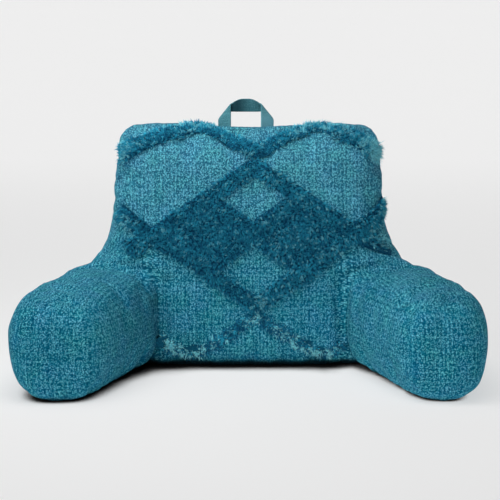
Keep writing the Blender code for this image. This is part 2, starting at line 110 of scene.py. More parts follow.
PATTERN_MIDDLE = 0.012
LEFT_SPLIT, RIGHT_SPLIT = -0.095, 0.108  # the lattice's pile is four pieces side by side
LEAN_ROOM = 0.0024  # the yarn ends are tufted this far inside a band's edge, and lean out over it
# Places where the yarn ends are paler, looser and brushed open.
PALE_COLUMNS = ("across", "level", "reach", "pale")
PALE_SPOTS = (
    (-0.232, 0.364, 0.026, 0.25),
    (0.232, 0.372, 0.040, 0.75),
    (-0.100, 0.446, 0.030, 0.35),
    (0.100, 0.446, 0.030, 0.55),
    (0.165, 0.430, 0.034, 0.55),
    (0.240, 0.202, 0.034, 0.50),
    (0.254, 0.276, 0.028, 0.45),
    (-0.205, 0.252, 0.024, 0.22),
    (-0.138, 0.043, 0.030, 1.00),
    (-0.098, 0.026, 0.034, 1.00),
    (-0.060, 0.048, 0.030, 0.60),
    (0.118, 0.028, 0.034, 0.85),
    (0.072, 0.056, 0.030, 0.80),
    (0.150, 0.036, 0.020, 0.55),
    (0.022, 0.098, 0.022, 0.45),
)
TUFT_STEP = 0.0032
STRAND_RADIUS = 0.00062
PILE_LENGTH = 0.0112
GROUND_SHARE = 0.5  # the matted foot of the pile stands this share of its height
GROUND_MOST = 0.0042  # and no more than this

# Carry strap
STRAP_WIDTH = 0.0245
STRAP_THICK = 0.0020
STRAP_MIDDLE = -0.0045
STRAP_LEG = 0.0385
STRAP_ARCH = 0.010
STRAP_ARCH_REACH = 0.023
STRAP_ROLL = math.radians(25.0)
STRAP_SPLAY = math.radians(30.0)
STRAP_SLUMP = 0.5
STRAP_LEVEL = 0.4420
STRAP_FOLD_RADIUS = 0.0036
STRAP_Y = 0.0960 + MIDDLE_Y


def link(o):
    bpy.context.scene.collection.objects.link(o)
    return o


def rows_of(columns, rows):
    return [dict(zip(columns, row)) for row in rows]


# ---- mesh helpers ---------------------------------------------------------------------------------------------------
def coordinates(mesh):
    co = np.zeros(len(mesh.vertices) * 3)
    mesh.vertices.foreach_get("co", co)
    return co.reshape(-1, 3)


def set_coordinates(mesh, co):
    mesh.vertices.foreach_set("co", np.asarray(co, np.float32).ravel())
    mesh.update()


def normals(mesh):
    n = np.zeros(len(mesh.vertices) * 3, np.float32)
    mesh.vertex_normals.foreach_get("vector", n)
    return n.reshape(-1, 3).astype(float)


def edges_of(mesh):
    e = np.zeros(len(mesh.edges) * 2, np.int32)
    mesh.edges.foreach_get("vertices", e)
    return e.reshape(-1, 2)


def spread(values, edges, count, rounds, strength=0.5):
    """Values on the vertices, evened out along the edges."""
    values = np.array(values, float)
    flat = values.ndim == 1
    if flat:
        values = values[:, None]
    w = strength if np.isscalar(strength) else np.asarray(strength)[:, None]
    degree = np.maximum(np.bincount(edges.ravel(), minlength=count), 1)[:, None]
    for _ in range(rounds):
        total = np.zeros_like(values)
        for k in range(values.shape[1]):
            total[:, k] = np.bincount(
                edges[:, 0], weights=values[edges[:, 1], k], minlength=count
            ) + np.bincount(edges[:, 1], weights=values[edges[:, 0], k], minlength=count)
        values += w * (total / degree - values)
    return values[:, 0] if flat else values


def evaluated(o, name):
    bpy.context.view_layer.update()
    dg = bpy.context.evaluated_depsgraph_get()
    m = bpy.data.meshes.new_from_object(o.evaluated_get(dg), depsgraph=dg)
    m.name = name
    return m


def tree_of(mesh):
    return BVHTree.FromPolygons([v.co.copy() for v in mesh.vertices], [tuple(f.vertices) for f in mesh.polygons])


def put_attribute(mesh, name, values, domain="POINT"):
    a = mesh.attributes.new(name, "FLOAT", domain)
    a.data.foreach_set("value", np.asarray(values, np.float32))


def lattice_noise(points, scale, seed):
    """Smooth noise of about -1 to 1 at each point, the same each run."""
    rng = np.random.default_rng(seed)
    size = 32
    grid = rng.uniform(-1, 1, (size, size, size))
    q = np.asarray(points) / scale
    i = np.floor(q).astype(int)
    f = q - i
    f = f * f * (3 - 2 * f)
    total = np.zeros(len(q))
    for dx in (0, 1):
        for dy in (0, 1):
            for dz in (0, 1):
                w = (
                    (f[:, 0] if dx else 1 - f[:, 0])
                    * (f[:, 1] if dy else 1 - f[:, 1])
                    * (f[:, 2] if dz else 1 - f[:, 2])
                )
                total += w * grid[(i[:, 0] + dx) % size, (i[:, 1] + dy) % size, (i[:, 2] + dz) % size]
    return total


# ---- seams ----------------------------------------------------------------------------------------------------------
# Each seam's corners. The inner creases are found on the form itself, level by level.
CREASE_COLUMNS = ("name", "sign", "x", "y", "z_low", "z_high")
CREASES = (
    ("crease_left", -1.0, -0.1535, -0.0110 + MIDDLE_Y, 0.006, 0.152),
    ("crease_right", 1.0, 0.1665, -0.0110 + MIDDLE_Y, 0.006, 0.150),
)
SEAM_COLUMNS = ("name", "x", "y", "z")
SEAM_CORNERS = (
    ("arm_left", -0.283, -0.212, 0.004),
    ("arm_left", -0.286, -0.219, 0.030),
    ("arm_left", -0.294, -0.219, 0.075),
    ("arm_left", -0.302, -0.208, 0.130),
    ("arm_left", -0.309, -0.180, 0.166),
    ("arm_left", -0.324, -0.120, 0.171),
    ("arm_left", -0.330, -0.040, 0.166),
    ("arm_left", -0.318, 0.060, 0.160),
    ("arm_left", -0.285, 0.128, 0.168),
    ("arm_left", -0.250, 0.135, 0.215),
    ("arm_left", -0.231, 0.132, 0.300),
    ("arm_left", -0.228, 0.128, 0.370),
    ("arm_left", -0.205, 0.126, 0.407),
    ("arm_left", -0.100, 0.126, 0.409),
    ("arm_left", 0.000, 0.126, 0.407),
    ("arm_right", 0.287, -0.212, 0.004),
    ("arm_right", 0.289, -0.217, 0.030),
    ("arm_right", 0.294, -0.217, 0.080),
    ("arm_right", 0.299, -0.200, 0.140),
    ("arm_right", 0.307, -0.175, 0.168),
    ("arm_right", 0.324, -0.115, 0.171),
    ("arm_right", 0.330, -0.035, 0.166),
    ("arm_right", 0.318, 0.060, 0.160),
    ("arm_right", 0.285, 0.128, 0.168),
    ("arm_right", 0.250, 0.135, 0.215),
    ("arm_right", 0.231, 0.132, 0.300),
    ("arm_right", 0.228, 0.128, 0.370),
    ("arm_right", 0.205, 0.126, 0.407),
    ("arm_right", 0.100, 0.126, 0.409),
    ("arm_right", 0.000, 0.126, 0.407),
)


def smooth_line(corners, step):
    """Points at about the step along a smooth line through the corners."""
    c = [Vector(p) for p in corners]
    c = [2 * c[0] - c[1]] + c + [2 * c[-1] - c[-2]]
    line = []
    for a, b, d, e in zip(c, c[1:], c[2:], c[3:]):
        n = max(2, int((d - b).length / step))
        for k in range(n):
            t = k / n
            line.append(
                0.5
                * (
                    2 * b
                    + (d - a) * t
                    + (2 * a - 5 * b + 4 * d - e) * t * t
                    + (3 * b - a - 3 * d + e) * t**3
                )
            )
    line.append(c[-2])
    return line


def seam_lines(tree):
    """Each seam as points on the form, with the way in from it."""
    lines = {}
    for r in rows_of(CREASE_COLUMNS, CREASES):
        into = Vector((r["sign"], 1.0, 0.0)).normalized()
        points = []
        z = r["z_low"]
        while z <= r["z_high"]:
            start = Vector((r["x"], r["y"], z)) - into * 0.05
            hit, _, _, _ = tree.ray_cast(start, into, 0.2)
            if hit is not None:
                points.append(hit)
            z += 0.002
        lines[r["name"]] = smooth_line(points[::4] + [points[-1]], 0.0015)
    for name in ("arm_left", "arm_right"):
        corners = [(r["x"], r["y"], r["z"]) for r in rows_of(SEAM_COLUMNS, SEAM_CORNERS) if r["name"] == name]
        lines[name] = [tree.find_nearest(p)[0] for p in smooth_line(corners, 0.0015)]
    return lines


def seam_field(co, nrm, lines, reach=0.03):
    """For each point: signed distance to its nearest seam, how far along it, and which."""
    names = sorted(lines)
    kd = KDTree(sum(len(lines[n]) for n in names))
    flat, tangent, along, which = [], [], [], []
    for w, n in enumerate(names):
        line = lines[n]
        run = 0.0
        for k, p in enumerate(line):
            before, after = line[max(0, k - 2)], line[min(len(line) - 1, k + 2)]
            t = (after - before).normalized()
            if k:
                run += (p - line[k - 1]).length
            kd.insert(p, len(flat))
            flat.append(p)
            tangent.append(t)
            along.append(run)
            which.append(w)
    kd.balance()
    signed = np.full(len(co), reach)
    far = np.full(len(co), reach)
    run = np.zeros(len(co))
    kind = np.full(len(co), -1)
    for k, (p, n) in enumerate(zip(co, nrm)):
        q, j, d = kd.find(p)
        if d < reach:
            side = tangent[j].cross(Vector(n))
            s = (Vector(p) - q).dot(side)
            signed[k] = math.copysign(d, s) if abs(s) > 0.3 * d else (s if abs(s) > 1e-9 else 1e-9)
            far[k] = d
            run[k] = along[j]
            kind[k] = which[j]
    return signed, far, run, kind, names


# ---- the filled cover -----------------------------------------------------------------------------------------------
def fill_cover(mesh, held):
    """Runs the cloth under pressure and returns the new places. held is 1 where the cover is sewn down or rests."""
    o = link(bpy.data.objects.new("fill_cover", mesh.copy()))
    group = o.vertex_groups.new(name="held")
    for value in sorted(set(np.round(held, 1))):
        if value > 0:
            group.add([int(i) for i in np.where(np.round(held, 1) == value)[0]], float(value), "REPLACE")
    c = o.modifiers.new("cover", "CLOTH")
    s = c.settings
    s.quality = 6
    s.mass = 0.3
    s.tension_stiffness = s.compression_stiffness = 18
    s.shear_stiffness = 6
    s.bending_stiffness = 1.2
    s.tension_damping = s.compression_damping = s.shear_damping = 12
    s.use_pressure = True
    s.uniform_pressure_force = 4.0
    s.shrink_min = -0.045
    s.vertex_group_mass = "held"
    s.effector_weights.gravity = 0.0
    c.collision_settings.use_collision = False
    c.point_cache.frame_start, c.point_cache.frame_end = 1, SIM_FRAMES
    scene = bpy.context.scene
    for f in range(1, SIM_FRAMES + 1):
        scene.frame_set(f)
    done = evaluated(o, "filled")
    co = coordinates(done)
    bpy.data.objects.remove(o)
    scene.frame_set(1)
    return co


def build_cover(node):
    start = link(bpy.data.objects.new("cover_form", node.data.copy()))
    knit = start.modifiers.new("even", "REMESH")
    knit.mode = "VOXEL"
    knit.voxel_size = COVER_VOXEL
    mesh = evaluated(start, "pillow_cover")
    bpy.data.objects.remove(start)
    mesh.materials.clear()
    count, edges = len(mesh.vertices), edges_of(mesh)
    co = coordinates(mesh)
    resting = co[:, 2] < 0.0022
    lines = seam_lines(tree_of(mesh))

    # the low form's facets are evened out, with its fullness kept
    _, far, _, _, _ = seam_field(co, normals(mesh), {n: lines[n] for n in lines if n.startswith("crease")})
    keep = np.clip((far - 0.006) / 0.014, 0.15, 1.0) * (~resting)
    for _ in range(9):
        co = spread(co, edges, count, 1, 0.60 * keep)
        co = spread(co, edges, count, 1, -0.58 * keep)
    co[resting, 2] = FLOOR
    co[:, 2] = np.maximum(co[:, 2], FLOOR)
    set_coordinates(mesh, co)

    # filled: the cover is pinned at its seams and underside, and swells and wrinkles between them
    _, far, _, _, _ = seam_field(co, normals(mesh), lines)
    held = np.maximum(resting * 1.0, np.clip((0.0105 - far) / 0.004, 0.0, 1.0))
    moved = fill_cover(mesh, held) - co
    size = np.linalg.norm(moved, axis=1)
    moved *= np.minimum(1.0, SIM_CAP / np.maximum(size, 1e-9))[:, None]
    # the form as a whole stays where the frame has it, and what the filling does between seams is kept
    slow = spread(moved, edges, count, 80)
    moved = moved - slow
    size = np.linalg.norm(moved, axis=1)
    print("cover moved: mean %.2f mm, most %.2f mm" % (1000 * size.mean(), 1000 * size.max()))
    moved[resting] = 0.0
    co = co + moved
    co[:, 2] = np.maximum(co[:, 2], FLOOR)
    set_coordinates(mesh, co)

    cover = link(bpy.data.objects.new("pillow_cover", mesh))
    sub = cover.modifiers.new("even", "SUBSURF")
    sub.levels = sub.render_levels = 1
    fine = evaluated(cover, "pillow_cover_fine")
    cover.modifiers.clear()
    cover.data = fine
    co = coordinates(fine)
    nrm = normals(fine)
    resting = co[:, 2] < 0.0006
    co[resting, 2] = FLOOR

    # seams: the creases are drawn in deep, and the arm seams a little, with small puckers beside them
    signed, far, run, kind, names = seam_field(co, nrm, lines)
    crease = np.array([k >= 0 and names[k].startswith("crease") for k in kind])
    ends = np.array([len(lines[names[k]]) * 0.0015 if k >= 0 else 1.0 for k in kind])
    fade = np.clip((ends - run) / 0.03, 0.0, 1.0)
    drawn = np.zeros_like(co)
    for r in rows_of(CREASE_COLUMNS, CREASES):
        mine = crease & (np.sign(co[:, 0]) == r["sign"])
        into = np.array(Vector((r["sign"], 1.0, 0.0)).normalized())
        pull = 0.0075 * np.exp(-((far / 0.0075) ** 2)) * fade
        drawn[mine] += (pull[:, None] * into)[mine]
    arm = (kind >= 0) & ~crease
    pucker = 0.5 + 0.5 * np.sin(run / 0.0023 + 2.0 * np.sin(run / 0.017))
    depth = 0.0009 * np.exp(-((far / 0.0030) ** 2)) + 0.0009 * np.exp(-((far / 0.011) ** 2)) * (
        0.55 + 0.45 * pucker
    )
    drawn[arm] -= (nrm * depth[:, None])[arm]
    # loose filling leaves the cloth a little lumpy
    lump = 0.0013 * lattice_noise(co, 0.045, SEED) + 0.0006 * lattice_noise(co + 3.0, 0.019, SEED + 1)
    calm = np.clip(co[:, 2] / 0.02, 0.0, 1.0)
    drawn += nrm * (lump * calm)[:, None]
    drawn[resting, 2] = 0.0
    co = co + drawn
    co[:, 2] = np.maximum(co[:, 2], FLOOR)
    set_coordinates(fine, co)
    put_attribute(fine, "seam_side", np.clip(signed, -0.03, 0.03))
    put_attribute(fine, "seam_strength", np.where(crease, fade, np.where(kind >= 0, 0.40, 0.0)))
    # painted shade: where the panel turns under between the arms, and a little all round the foot, the cloth is marked
    # to be darkened as by the shade of its own fold
    beside = np.maximum(0.0, np.maximum(-0.150 - co[:, 0], co[:, 0] - 0.160))
    within = np.clip((0.17 - np.hypot(beside, np.minimum(0.0, co[:, 1]))) / 0.11, 0.0, 1.0)
    hollow = np.clip((0.0172 - co[:, 2]) / 0.0110, 0.0, 1.0) * within
    under = np.clip((0.0060 - co[:, 2]) / 0.0045, 0.0, 1.0) * 0.7
    dark = np.maximum(hollow, under)
    # painted shade: the inner sides of the arms are marked to be darkened towards the panel, the left one more
    sign = np.sign(co[:, 0])
    facing = np.clip(-1.5 * nrm[:, 0] * sign - 0.15, 0.0, 1.0) * np.clip((np.abs(co[:, 0]) - 0.145) / 0.010, 0.0, 1.0)
    inward = np.clip((0.185 - co[:, 2]) / 0.035, 0.0, 1.0) * np.clip((co[:, 1] + 0.21) / 0.20, 0.0, 1.0)
    nook = facing * inward * np.where(sign < 0, 0.25, 0.11)
    put_attribute(fine, "painted_shade", np.maximum(0.93 * dark * dark * (3.0 - 2.0 * dark), nook))
    # places along and across the arms, so the weave runs with them
    turn = 0.22 * np.sign(co[:, 0]) * np.maximum(0.0, 0.10 - co[:, 1])
    share = np.clip((np.abs(co[:, 0]) - 0.15) / 0.03, 0, 1) * np.clip((0.25 - co[:, 2]) / 0.05, 0, 1)
    cloth = fine.attributes.new("cloth_place", "FLOAT_VECTOR", "POINT")
    place = co.copy()
    place[:, 0] -= turn * share
    cloth.data.foreach_set("vector", place.astype(np.float32).ravel())
    fine.shade_smooth()
    return cover


# ---- front panel chart ----------------------------------------------------------------------------------------------
class PanelChart:
    def __init__(self, mesh):
        self.tree = tree_of(mesh)

    def out(self, across, level):
        turn = max(0.0, abs(across) - CHART_SIDE) / CHART_SIDE_RADIUS
        rise = max(0.0, level - CHART_TOP) / CHART_TOP_RADIUS
        return Vector(
            (
                math.copysign(math.sin(turn), across) * math.cos(rise),
                -math.cos(turn) * math.cos(rise),
                math.sin(rise),
            )
        )

    def point(self, across, level):
        out = self.out(across, level)
        core = Vector((max(-CHART_SIDE, min(CHART_SIDE, across)), CHART_CORE_Y, min(CHART_TOP, level)))
        hit, normal, _, _ = self.tree.ray_cast(core + out, -out, 1.0)
        return hit, normal


def corners_of(band):
    return [
        (Vector((r["across"], r["level"])), r["round"], r["width"])
        for r in rows_of(BAND_COLUMNS, BAND_ROWS)
        if r["band"] == band
    ]


def rounded(corners, steps=3):
    """A line of (place, width) through the corners, each turned over its share of the two sides."""
    line = []
    for k, (here, reach, width) in enumerate(corners):
        if not reach:
            line.append((here, width))
            continue
        before = here + (corners[k - 1][0] - here).normalized() * reach
        after = here + (corners[k + 1][0] - here).normalized() * reach
        for j in range(steps + 1):
            t = j / steps
            line.append((before * (1 - t) ** 2 + here * (2 * t * (1 - t)) + after * t**2, width))
    return line


def filled_diamonds():
    """The left and right quarters of the great diamond, which are filled with pile, with the lap of each of their sides."""
    roof, valley = [c[0] for c in corners_of("roof")], [c[0] for c in corners_of("valley")]
    raised = Vector((0.0, FILL_RAISE))
    middle = 0.5 * (roof[LATTICE_LEFT] + roof[LATTICE_RIGHT]) + raised
    quarters = []
    for side in (LATTICE_LEFT, LATTICE_RIGHT):
        upper = 0.5 * (roof[side] + roof[LATTICE_APEX]) + raised
        lower = 0.5 * (roof[side] + valley[LATTICE_FOOT]) + raised
        if side == LATTICE_LEFT:
            quarters.append([(middle, FILL_LAP), (upper, 0.0), (roof[side], 0.0), (lower, FILL_LAP)])
        else:
            quarters.append([(middle, FILL_LAP), (lower, 0.0), (roof[side], 0.0), (upper, FILL_LAP)])
    return quarters


def inside_bands(p, which):
    """How deep each chart place lies inside the bands: over 0 inside, and less outside."""
    best = np.full(len(p), -1.0)
    for name in which:
        if name == "diamonds":
            for quarter in filled_diamonds():
                depth = np.full(len(p), 1.0)
                for k, (a, lap) in enumerate(quarter):
                    b = quarter[(k + 1) % len(quarter)][0]
                    way = (b - a).normalized()
                    into = np.array((-way.y, way.x))
                    depth = np.minimum(depth, (p - np.array(a)) @ into + lap)
                best = np.maximum(best, depth - LEAN_ROOM)
            continue
        line = rounded(corners_of(name))
        for (a, wide_a), (b, wide_b) in zip(line, line[1:]):
            a, b = np.array(a), np.array(b)
            ab = b - a
            t = np.clip(((p - a) @ ab) / max(ab @ ab, 1e-12), 0.0, 1.0)
            near = a + t[:, None] * ab
            half = 0.5 * (wide_a + (wide_b - wide_a) * t) - LEAN_ROOM
            best = np.maximum(best, half - np.linalg.norm(p - near, axis=1))
        # the ends are cut straight
        for (end, _), (inner, _) in ((line[0], line[1]), (line[-1], line[-2])):
            end, way = np.array(end), np.array((inner - end).normalized())
            past = (p - end) @ way
            off = np.abs((p - end) @ np.array((-way[1], way[0])))
            cut = (past < 0.0) & (off < 0.03) & (past > -0.03)
            best = np.where(cut, np.minimum(best, past), best)
    return best


# ---- cut pile -------------------------------------------------------------------------------------------------------
# light is the share of pale yarn ends, loose how far they are brushed open, lift how much lighter the piece is
PILE_COLUMNS = ("piece", "node", "bands", "across_low", "across_high", "light", "loose", "lift", "strands")
PILE_PIECES = (
    ("pile_zigzag_top", "cut_pile_zigzag", ("top",), -1.0, 1.0, 0.30, 0.12, 0.56, 10),
    ("pile_lattice_left", "cut_pile_lattice", ("roof", "valley", "diamonds"), LEFT_SPLIT, PATTERN_MIDDLE, 0.26, 0.0, 0.05, 10),
    ("pile_lattice_right", "cut_pile_lattice", ("roof", "valley", "diamonds"), PATTERN_MIDDLE, RIGHT_SPLIT, 0.32, 0.0, 0.12, 10),
    ("pile_zigzag_base", "cut_pile_lattice", ("base",), -1.0, 1.0, 0.30, 0.75, -0.25, 9),
    ("pile_lattice_left_end", "cut_pile_lattice", ("roof", "valley", "diamonds"), -1.0, LEFT_SPLIT, 0.26, 0.0, 0.05, 10),
    ("pile_lattice_right_end", "cut_pile_lattice", ("roof", "valley", "diamonds"), RIGHT_SPLIT, 1.0, 0.32, 0.0, 0.12, 10),
)


def tuft_places(row, rng):
    """Chart places of the tufts of one piece, jittered off a staggered grid, with how far each is inside."""
    steps_x = np.arange(-0.30, 0.32, TUFT_STEP)
    steps_y = np.arange(-0.01, 0.48, TUFT_STEP * 0.866)
    gx, gy = np.meshgrid(steps_x, steps_y)
    gx = gx + (np.arange(len(steps_y)) % 2)[:, None] * 0.5 * TUFT_STEP
    p = np.stack([gx.ravel(), gy.ravel()], 1)
    p += rng.uniform(-0.30, 0.30, p.shape) * TUFT_STEP
    p = p[(p[:, 0] >= row["across_low"]) & (p[:, 0] < row["across_high"])]
    depth = inside_bands(p, row["bands"]) - (0.0022 if row["loose"] > 0.5 else 0.0)
    wobble = 0.0012 * np.sin(p[:, 0] / 0.0061) * np.sin(p[:, 1] / 0.0073) + rng.uniform(-0.0007, 0.0007, len(p))
    keep = depth + wobble > 0
    if row["bands"] == ("base",):  # where the base zigzag meets the lattice, each place is tufted once
        keep &= inside_bands(p, ("roof", "valley")) < 0
    return p[keep], np.maximum(depth[keep], 0.0)


def pile_piece(row, chart, rng):
    p, depth = tuft_places(row, rng)
    e = 0.0015
    gx = inside_bands(p + (e, 0), row["bands"]) - inside_bands(p - (e, 0), row["bands"])
    gy = inside_bands(p + (0, e), row["bands"]) - inside_bands(p - (0, e), row["bands"])
    outward = -np.stack([gx, gy], 1)
    outward /= np.maximum(np.linalg.norm(outward, axis=1), 1e-9)[:, None]
    roots, ups, rights, tops = [], [], [], []
    for x, y in p:
        hit, normal = chart.point(x, y)
        up = (Vector(normal) * 0.6 + chart.out(x, y) * 0.4).normalized()
        right = Vector((0, 0, 1)).cross(up)
        right = -right if right.length < 1e-6 else right.normalized()
        if right.x < 0 and abs(x) < 0.2:
            right = -right
        roots.append(hit)
        ups.append(up)
        rights.append(right)
        tops.append(up.cross(right) * (1 if up.cross(right).z > 0 or up.z > 0.7 else -1))
    roots, ups, rights, tops = (np.array(a) for a in (roots, ups, rights, tops))
    n, k = len(p), row["strands"]
    pale = np.zeros(n)
    for spot in rows_of(PALE_COLUMNS, PALE_SPOTS):
        far = np.hypot(p[:, 0] - spot["across"], p[:, 1] - spot["level"])
        pale = np.maximum(pale, spot["pale"] * np.exp(-((far / spot["reach"]) ** 2)))
    loose = np.clip(row["loose"] + 0.55 * pale, 0.0, 1.0)
    edge = np.clip(1.0 - depth / 0.0065, 0.0, 1.0)
    # each tuft leans its own way: out over the edge where it is near one, and a little down
    lean = outward[:, :1] * rights + outward[:, 1:] * tops
    lean = lean * ((0.20 if row["loose"] > 0.5 else 0.60) * edge)[:, None]
    swirl = np.stack([np.sin(p[:, 0] / 0.011 + 3 * np.sin(p[:, 1] / 0.016)), np.cos(p[:, 1] / 0.010 + 2 * np.sin(p[:, 0] / 0.019))], 1)
    lean += 0.26 * (swirl[:, :1] * rights + swirl[:, 1:] * tops)
    wild = (0.17 + 0.45 * loose)[:, None]
    lean += wild * (rng.normal(0, 1, (n, 1)) * rights + rng.normal(0, 1, (n, 1)) * tops)
    tangled = row["loose"] > 0.5
    lean[:, 2] -= 0.12
    # the brushed ends fan out sideways
    lean += (0.55 * pale * np.sign(p[:, 0]) * (row["piece"] == "pile_zigzag_top"))[:, None] * rights
    # tufts differ in tone one by one and in small patches; painted shade darkens the tufts along the underside of a
    # band, and painted light lightens those along its upper edge
    patch = np.sin(p[:, 0] / 0.0037 + 2.1 * np.sin(p[:, 1] / 0.0083)) * np.sin(p[:, 1] / 0.0041 + 1.7 * np.sin(p[:, 0] / 0.0072))
    tuft_tone_and_shade = row["lift"] + 2.6 * rng.uniform(0, 1, n) ** 3 - 0.55 + 0.30 * patch - 0.75 * edge * np.clip(-outward[:, 1], 0, 1) + 0.25 * edge * np.clip(outward[:, 1], 0, 1)
    tuft_tone_and_shade += 0.6 * pale
    # and in clumps a few millimetres wide
    clump = lattice_noise(roots, 0.0030 if tangled else 0.0034, SEED + 3)
    tuft_tone_and_shade += (2.0 if tangled else 1.4) * clump - (0.35 if tangled else 0.0)
    tuft_long = rng.uniform(0.80, 1.10, n)
    if "diamonds" in row["bands"]:
        # the bands stand out from the filled diamonds beside them, with painted shade in the groove between them, and
        # the apex is lighter
        band = inside_bands(p, ("roof", "valley"))
        groove = np.exp(-(((band + 0.0012) / 0.0016) ** 2)) * (depth > 0.004)
        tuft_tone_and_shade += 0.22 * (band > 0) - 1.0 * groove + 0.35 * np.clip((p[:, 1] - 0.27) / 0.07, 0, 1)
        tuft_long *= 1.0 - 0.22 * groove + 0.05 * (band > 0)
    if tangled:
        tuft_long *= rng.uniform(0.50, 0.80, n)

    def many(a):
        return np.repeat(a, k, axis=0)

    m = n * k
    angle, reach = rng.uniform(0, 2 * np.pi, m), np.sqrt(rng.uniform(0, 1, m))
    sx, sy = reach * np.cos(angle), reach * np.sin(angle)
    R, U, T = many(rights), many(ups), many(tops)
    open_ = many(loose)[:, None]
    foot = many(roots) + (sx[:, None] * R + sy[:, None] * T) * (0.31 * TUFT_STEP) - U * 0.0012
    way = U * (1.0 - 0.35 * open_) + many(lean) + (sx[:, None] * R + sy[:, None] * T) * (0.10 + 0.40 * open_)
    way += rng.normal(0, 1, (m, 3)) * ((0.08 + 0.24 * open_) * (1.5 if tangled else 1.0))
    way /= np.linalg.norm(way, axis=1)[:, None]
    # none points into the cloth
    down = np.minimum(np.einsum("ij,ij->i", way, U) - 0.18, 0.0)
    way -= down[:, None] * U
    way /= np.linalg.norm(way, axis=1)[:, None]
    length = PILE_LENGTH * many(tuft_long) * rng.uniform(0.78, 1.06, m) * (1.0 + 0.10 * open_[:, 0] + 0.25 * many(pale) * (row["piece"] == "pile_zigzag_top"))
    curl = rng.normal(0, 1, (m, 3)) * (0.13 + 0.25 * open_)
    curl[:, 2] -= 0.02 if tangled else 0.16
    middle = foot + way * (0.55 * length)[:, None] + curl * (0.16 * length)[:, None]
    tip = foot + way * (0.98 * length)[:, None] + curl * (0.62 * length)[:, None]
    sunk = np.minimum(np.einsum("ij,ij->i", tip - foot, U) - 0.0022, 0.0)
    tip -= sunk[:, None] * U
    tip[:, 2] = np.maximum(tip[:, 2], 0.0012)
    middle[:, 2] = np.maximum(middle[:, 2], 0.0010)
    # a strand is a three-sided yarn end: a ring at the foot, a fuller one at its middle, and a blunt tip
    side = np.cross(way, rng.normal(0, 1, (m, 3)))
    side /= np.linalg.norm(side, axis=1)[:, None]
    other = np.cross(way, side)
    radius = STRAND_RADIUS * rng.uniform(0.75, 1.25, m) * (1.60 if tangled else 1.0 - 0.22 * open_[:, 0])
    verts = np.zeros((m, 7, 3))
    for j in range(3):
        a = 2 * np.pi * j / 3
        ring = math.cos(a) * side + math.sin(a) * other
        verts[:, j] = foot + ring * (0.85 * radius)[:, None]
        verts[:, 3 + j] = middle + ring * radius[:, None]
    verts[:, 6] = tip
    base = (np.arange(m) * 7)[:, None]
    quads = np.concatenate([base + np.array([j, (j + 1) % 3, 3 + (j + 1) % 3, 3 + j]) for j in range(3)])
    tris = np.concatenate(
        [base + np.array([3 + j, 3 + (j + 1) % 3, 6]) for j in range(3)] + [base + np.array([2, 1, 0])]
    )
    mesh = bpy.data.meshes.new(row["piece"])
    mesh.from_pydata(verts.reshape(-1, 3).tolist(), [], quads.tolist() + tris.tolist())
    mesh.update()
    height = np.tile(np.array([0.40, 0.40, 0.40, 1.0, 1.0, 1.0, 1.0] if tangled else [0, 0, 0, 0.6, 0.6, 0.6, 1.0]), m)
    tone = many(tuft_tone_and_shade) + 2.6 * rng.uniform(0, 1, m) ** 3 - 0.60
    # a share of the yarn ends is pale
    light = np.clip(row["light"] + many(pale), 0.0, 1.0)
    own = 0.12 if tangled else 0.25
    by_tuft = 0.5 - (1.0 if tangled else 0.6) * clump + rng.uniform(-1, 1, n) * (0.05 if tangled else 0.28)
    chance = own * rng.uniform(0, 1, m) + (1.0 - own) * many(np.clip(by_tuft, 0.0, 1.0))
    bright = np.clip((light * (0.50 if tangled else 0.80) - chance) / 0.08, 0.0, 1.0) * rng.uniform(0.75, 1.0, m)
    put_attribute(mesh, "pile_height", height)
    put_attribute(mesh, "pile_tone_and_shade", np.repeat(np.clip(tone, -1.4, 1.6), 7))
    put_attribute(mesh, "pile_light", np.repeat(bright, 7))
    mesh.shade_smooth()
    return link(bpy.data.objects.new(row["piece"], mesh))


def pile_ground(name, node, chart_tree):
    """The matted foot of the pile, which shows between the yarn ends: the bands' own form, drawn down."""
    mesh = node.data.copy()
    mesh.name = name
    mesh.materials.clear()
    co = coordinates(mesh)
    for k, c in enumerate(co):
        near, normal, _, _ = chart_tree.find_nearest(Vector(c))
        away = Vector(c) - near
        height = away.dot(normal)
        share = GROUND_SHARE if c[2] > 0.105 else 0.16 * GROUND_SHARE  # the base zigzag is thin and loose
        share = min(share, GROUND_MOST / max(height, 1e-6))
        co[k] = near + away * share - normal * 0.0008
        if height < 0.002:
            co[k] = near - normal * 0.0015
    set_coordinates(mesh, co)
    mesh.shade_smooth()
    return link(bpy.data.objects.new(name, mesh))


# ---- carry strap ----------------------------------------------------------------------------------------------------
def folded(along, across):
    """A place on the flat strap, folded: the top run is straight, and at each end it turns down over a slanted fold."""
    r = STRAP_FOLD_RADIUS
    sign = -1.0 if along < 0 else 1.0
    reach = STRAP_LEG - math.pi * r / math.sqrt(2.0)
    x, z = -abs(along) + reach, across
    axis, out = Vector((1.0, 1.0)) / math.sqrt(2.0), Vector((-1.0, 1.0)) / math.sqrt(2.0)
    p = Vector((x, z))
    d, t = p.dot(out), p.dot(axis)
    if d <= 0.0:
        q, y = p, 0.0
    elif d < math.pi * r:
        q, y = axis * t + out * (r * math.sin(d / r)), -r * (1.0 - math.cos(d / r))
    else:
        q, y = axis * t - out * (d - math.pi * r), -2.0 * r
    return hung(sign * (reach - q.x), y, q.y)


